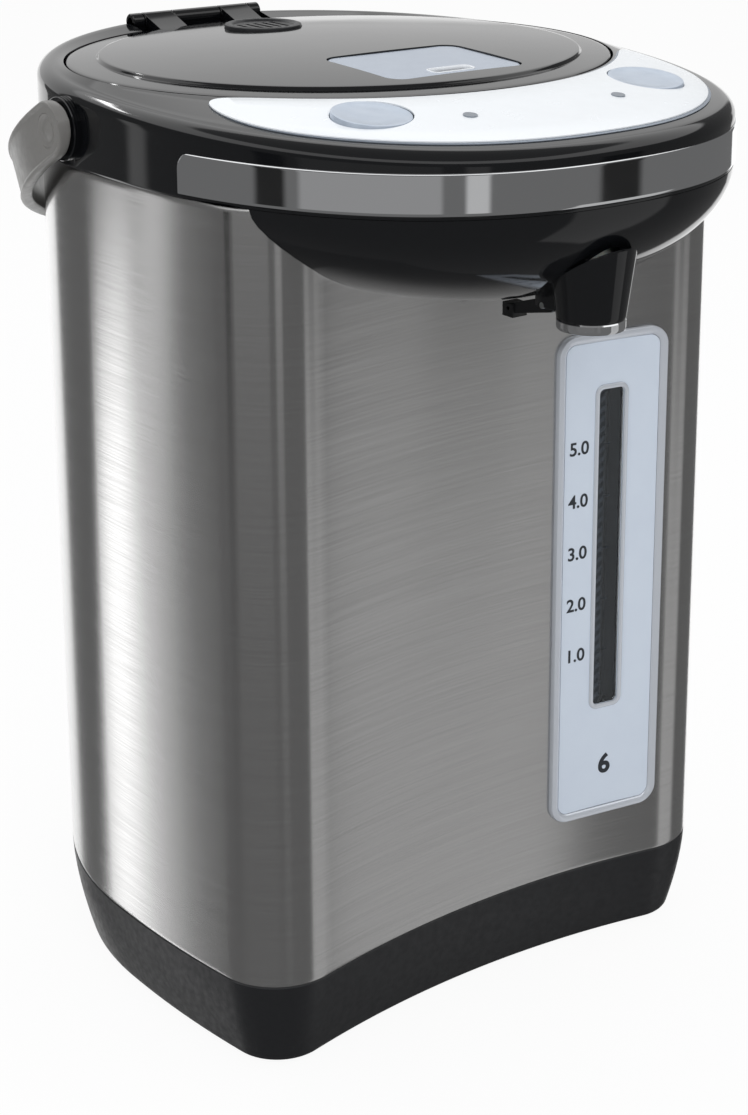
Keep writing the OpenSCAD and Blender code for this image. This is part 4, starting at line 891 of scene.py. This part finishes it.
# A strip of slanting stripes is printed behind the left of the window.
hatch, tree, shader = finish("printing_ink_striped", "#3a3f46", {"Roughness": 0.5, "IOR": 1.5})
stripe_pitch, stripe_lean = 0.0042, -0.7        # in metres up the strip, and in height per width
place = node(tree, "ShaderNodeTexCoord").outputs["Object"]
place = node(tree, "ShaderNodeSeparateXYZ", {"Vector": place}).outputs
lean = maths(tree, "MULTIPLY_ADD", place["X"], stripe_lean, place["Z"])
wave = maths(tree, "SINE", maths(tree, "MULTIPLY", lean, math.tau / stripe_pitch))
mixed = blend(tree, ramp(tree, wave, -0.4, 0.4), linear("#24282e"), linear("#4d535b"))
tree.links.new(mixed, shader.inputs["Base Color"])
stripes = face_slab(0, -0.08)
stripes.name = "window_stripes"
stripe_h = window_h / 2 - 0.1
carve(stripes, block(gauge_x - 5.7, gauge_x - 2.2, -140, -60, window_mid - stripe_h, window_mid + stripe_h),
      "INTERSECT")
stripes.data.materials.append(hatch)
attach(stripes, "root")

# The numbers are litres, printed beside the window, and the pot's capacity below it.
ink, tree, shader = finish("printing_ink_dark", "#2c3036", {"Roughness": 0.5, "IOR": 1.5})
vary(tree, shader, "Roughness", 0.45, 0.6, 1)


def printed(name, words, x, z, size, bold=0):
    """Words printed on the gauge: a thin raised film that follows the bowed face."""
    text = bpy.data.curves.new(name, "FONT")
    text.body, text.size, text.align_x, text.align_y = words, size / 1000, "CENTER", "CENTER"
    text.extrude, text.offset = 0.00006, bold / 1000
    flat = placed(name, text)
    whole = bpy.context.evaluated_depsgraph_get()
    mesh = bpy.data.meshes.new_from_object(flat.evaluated_get(whole))
    bpy.data.objects.remove(flat)
    for v in mesh.vertices:
        px, pz, lift = v.co.x * 1000 + x, v.co.y * 1000 + z, v.co.z * 1000
        v.co = metres((px, front_at(px, 1.46 + lift), pz))
    mesh.name = name
    piece = placed(name, mesh)
    piece.data.materials.append(ink)
    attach(piece, "root")


litre, first = 21.9, 134.1              # the height of a litre, and of the first mark
number_x, number_size, number_bold, tick_half = 42.3, 7.6, 0.12, 0.35
for k in range(5):
    z = first + k * litre
    printed(f"litre_{k + 1}", f"{k + 1}.0", number_x, z, number_size, number_bold)
    tick = face_slab(0.02, -0.1)
    tick.name = f"tick_{k + 1}"
    carve(tick, block(gauge_x - 2, gauge_x + 0.9, -140, -60, z - tick_half, z + tick_half), "INTERSECT")
    tick.data.materials.append(ink)
    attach(tick, "root")
printed("capacity", "6", 57.5, 83, 11.5, 0.35)

# ---- handle ----
# A U of grey polypropylene hinges on two pins in the head. A rounded bead runs
# along both edges, and a cap covers the end of each pin.
handle_gap, handle_t, handle_w, grip_w, handle_power = 1.7, 5, 22, 19, 1.9
handle_drop = math.radians(26.5)
handle_x, cap_r = head_w2 + 4 + handle_t, 6.5
behind_pivot = body_back + handle_gap - pivot_y + grip_w / 2 * math.sin(handle_drop)
reach = handle_t + behind_pivot / math.cos(handle_drop)


def handle_line(inset, count):
    """The U seen from above: down the right arm's round end, round the grip and back."""
    a, b = handle_x - inset, reach - inset
    tail = [(a, y) for y in steps(-handle_w / 2 * 0.999, 0, 14)]
    bend = [(squarish(math.cos(t), handle_power) * a, b * math.sin(t) ** (2 / handle_power))
            for t in steps(0, math.pi, count)]
    return tail + bend[1:-1] + [(-x, y) for x, y in reversed(tail)]


def handle_width(y):
    half, slim = handle_w / 2, grip_w / 2
    if y < 0:
        return math.sqrt(max(half ** 2 - y ** 2, 0.05))
    u = min(max((y / reach - 0.3) / 0.42, 0), 1)
    return half - (half - slim) * u * u * (3 - 2 * u)


# The section: each point's share of the half width, and its depth below the outer face.
bead = [(1, 1.9), (1, 1), (0.975, 0.45), (0.93, 0.1), (0.89, 0), (0.85, 0.12), (0.82, 0.45),
        (0.79, 0.6), (0.75, 0.6)]
belly = [(0.99, handle_t - 1.1), (0.95, handle_t - 0.35), (0.88, handle_t)]
section = ([(-w, d) for w, d in bead] + [(0, 0.6)] + [(w, d) for w, d in reversed(bead)]
           + belly + [(0, handle_t)] + [(-w, d) for w, d in reversed(belly)])
rings = []
grip_steps = 128
for (ox, oy), (ix, iy) in zip(handle_line(0, grip_steps), handle_line(handle_t, grip_steps)):
    rings.append([(ox + (ix - ox) * d / handle_t, oy + (iy - oy) * d / handle_t, handle_width(oy) * w)
                  for w, d in section])


def in_handle(ring):
    c, s = math.cos(handle_drop), math.sin(handle_drop)
    return [(x, pivot_y + y * c + z * s, pivot_z - y * s + z * c) for x, y, z in ring]


handle_grey, tree, shader = finish("moulded_polypropylene_grey", "#72716f",
                                   {"Roughness": 0.34, "IOR": 1.49})
vary(tree, shader, "Roughness", 0.28, 0.4, 4)
grain(tree, shader, 0.7, 0.01)
handle = skin("handle_moulded", [in_handle(ring) for ring in rings])
inner_x, hole_r = handle_x - handle_t, pivot_r + 0.05
for side in (1, -1):
    for r, x0, x1 in ((hole_r, inner_x - 1, handle_x), (cap_r, inner_x + 2.2, handle_x + 1)):
        carve(handle, turned("room", [(r, side * x0), (r, side * x1)], (0, pivot_y, pivot_z), "X"))
fit(handle, "handle", ["carry_handle"], handle_grey, 40)
cap_profile = [(0.3, -1.6), (cap_r - 0.1, -1.6), (cap_r, -1.5), (cap_r, -0.8), (cap_r - 0.2, -0.6),
               (cap_r - 0.7, -0.6), (cap_r - 1.2, -0.8), (cap_r - 1.8, -1.1), (cap_r - 2.4, -1.15),
               (2.2, -0.8), (1.4, -0.55), (0.3, -0.45)]
for side, name in ((1, "right_cap"), (-1, "left_cap")):
    cap = turned(name, [(r, side * (handle_x + x)) for r, x in cap_profile], (0, pivot_y, pivot_z), "X")
    fit(cap, "handle", ["pivot_caps"], handle_grey, 40)

# ---- floor and light ----
# A plain pale floor and a white surround. The walls of the studio stand far off
# and show only in what shines: bright screens, a window and darker stretches.
bpy.ops.mesh.primitive_plane_add(size=6)
floor = bpy.context.object
floor.name = "floor"
paper = bpy.data.materials.new("floor_paper")
tree = emptied(paper)


def background_rays(tree):
    """1 for the rays that see the white background: from the camera, off gloss and through glass."""
    path = node(tree, "ShaderNodeLightPath").outputs
    shine = maths(tree, "MAXIMUM", path["Is Glossy Ray"], path["Is Transmission Ray"])
    return maths(tree, "MAXIMUM", path["Is Camera Ray"], shine)


matt = node(tree, "ShaderNodeBsdfDiffuse", {"Color": linear("#fbfbfc")})
glow = node(tree, "ShaderNodeEmission", {"Color": linear("#ffffff"), "Strength": 1})
floor_lift = 0.93                       # the share of the background's white that the floor shows
lifted = maths(tree, "MULTIPLY", background_rays(tree), floor_lift)
both = node(tree, "ShaderNodeMixShader", {"Fac": lifted, 1: matt.outputs["BSDF"],
                                          2: glow.outputs["Emission"]})
node(tree, "ShaderNodeOutputMaterial", {"Surface": both.outputs["Shader"]})
floor.data.materials.append(paper)
floor.visible_glossy = False

world = bpy.data.worlds.new("surround")
bpy.context.scene.world = world
tree = emptied(world)
plain = node(tree, "ShaderNodeBackground", {"Color": linear("#ffffff"), "Strength": 0.62})
white = node(tree, "ShaderNodeBackground", {"Color": linear("#ffffff"), "Strength": 1})
shown = node(tree, "ShaderNodeMixShader", {"Fac": background_rays(tree), 1: plain.outputs["Background"],
                                           2: white.outputs["Background"]})
node(tree, "ShaderNodeOutputWorld", {"Surface": shown.outputs["Shader"]})

bpy.ops.mesh.primitive_uv_sphere_add(segments=64, ring_count=32, radius=12)
walls = bpy.context.object
walls.name = "studio_walls"
paint = bpy.data.materials.new("studio_wall_light")
paint.cycles.emission_sampling = "NONE"
tree = emptied(paint)
way = node(tree, "ShaderNodeTexCoord").outputs["Object"]
way = node(tree, "ShaderNodeVectorMath", {0: way}, operation="NORMALIZE")
way = node(tree, "ShaderNodeSeparateXYZ", {"Vector": way.outputs["Vector"]}).outputs
front_share = maths(tree, "MULTIPLY", way["Y"], -1.0)
left_share = maths(tree, "MULTIPLY", way["X"], -1.0)
turn = maths(tree, "ARCTAN2", left_share, front_share)
rise = maths(tree, "ARCSINE", way["Z"])
brightest = 3.0


def past(angle, edge):
    """From 0 to 1 as an angle passes an edge, which is a degree soft on both sides."""
    soft = math.radians(1)
    middle = math.radians(edge)
    return ramp(tree, angle, middle - soft, middle + soft)


def within(angle, start, stop):
    """1 between two edges, and 0 outside them."""
    return maths(tree, "SUBTRACT", past(angle, start), past(angle, stop))


# Each screen: its two sides in degrees from the front towards the left, its lower
# and upper edges in degrees above the horizon, and its brightness.
surround = 0.15
screens = [
    ((-181, -115), (-50, 5), 1.2),      # a bright wall at the back right
    ((-60, -28), (-50, -13), 0.5),      # a broad screen at the front right
    ((136, 144), (-50, -13), 0.6),      # a tall window at the back left, and the glow beside it
    ((144, 151), (-50, -13), 2.5),
    ((30, 85), (-13, 5), 0.3),          # two cards and two dark flags that show in the chrome
    ((10, 20), (-13, 5), 0.5),
    ((90, 100), (-13, 5), 0.02),
    ((-45, -35), (-13, 5), 0.02),
    ((135, 140), (-13, 5), 0.8),        # a narrow window that shows in the side of the head
    ((-181, -125), (5, 30), 0.8),       # the back of the room, which shows in the lid
    ((165, 181), (5, 30), 0.8),
    ((-181, 181), (30, 50), 1.2),       # the ceiling: pale round its edge and dim in the middle
    ((-181, 181), (50, 91), 0.25),
]
light = [surround / brightest] * 3 + [1]
for sides, edges, bright in screens:
    inside = maths(tree, "MULTIPLY", within(turn, *sides), within(rise, *edges))
    light = blend(tree, inside, light, [bright / brightest] * 3 + [1])
shine = node(tree, "ShaderNodeEmission", {"Color": light, "Strength": brightest})
node(tree, "ShaderNodeOutputMaterial", {"Surface": shine.outputs["Emission"]})
walls.data.materials.append(paint)
walls.visible_camera = walls.visible_diffuse = walls.visible_transmission = walls.visible_shadow = False


def softbox(name, place, size, watts, toward=(0, 0, 0.2), mirrored_in_gloss=False):
    """A soft area lamp, with its place and size in metres."""
    lamp = bpy.data.lights.new(name, "AREA")
    lamp.shape, lamp.size, lamp.size_y, lamp.energy = "RECTANGLE", *size, watts
    light = placed(name, lamp)
    light.location = place
    light.rotation_euler = (Vector(toward) - Vector(place)).to_track_quat("-Z", "Y").to_euler()
    light.visible_glossy = mirrored_in_gloss


softbox("overhead", (0.1, 0.25, 1.5), (1.4, 1.4), 6)
softbox("front_fill", (-0.6, -1.9, 1.3), (0.9, 0.9), 12)
softbox("left_fill", (-2.1, -0.4, 0.7), (0.8, 0.8), 7)
softbox("rear_strip", (-0.3, 1.5, 1.45), (0.7, 0.06), 1.5, (0, 0, 0.35), True)

# ---- camera ----
# A long lens in front of the pot, a little above it and to its left. The frame
# is shifted against the lens's axis.
yaw, pitch, focal, centre_x, centre_y = 0.6413505, 0.2781228, 2323.1227, 410, 345
frame_px = (748, 1115)
view = bpy.data.cameras.new("camera")
view.sensor_width, view.lens = 36, focal * 36 / frame_px[1]
view.shift_x = (frame_px[0] / 2 - centre_x) / frame_px[1]
view.shift_y = (centre_y - frame_px[1] / 2) / frame_px[1]
view.clip_start = 0.01
camera = placed("camera", view)
camera.location = metres((-527.323, -743.286, 510.713))
forward = Vector((math.sin(yaw) * math.cos(pitch), math.cos(yaw) * math.cos(pitch), -math.sin(pitch)))
camera.rotation_euler = forward.to_track_quat("-Z", "Y").to_euler()
bpy.context.scene.camera = camera
bpy.context.scene.view_settings.view_transform = "Standard"
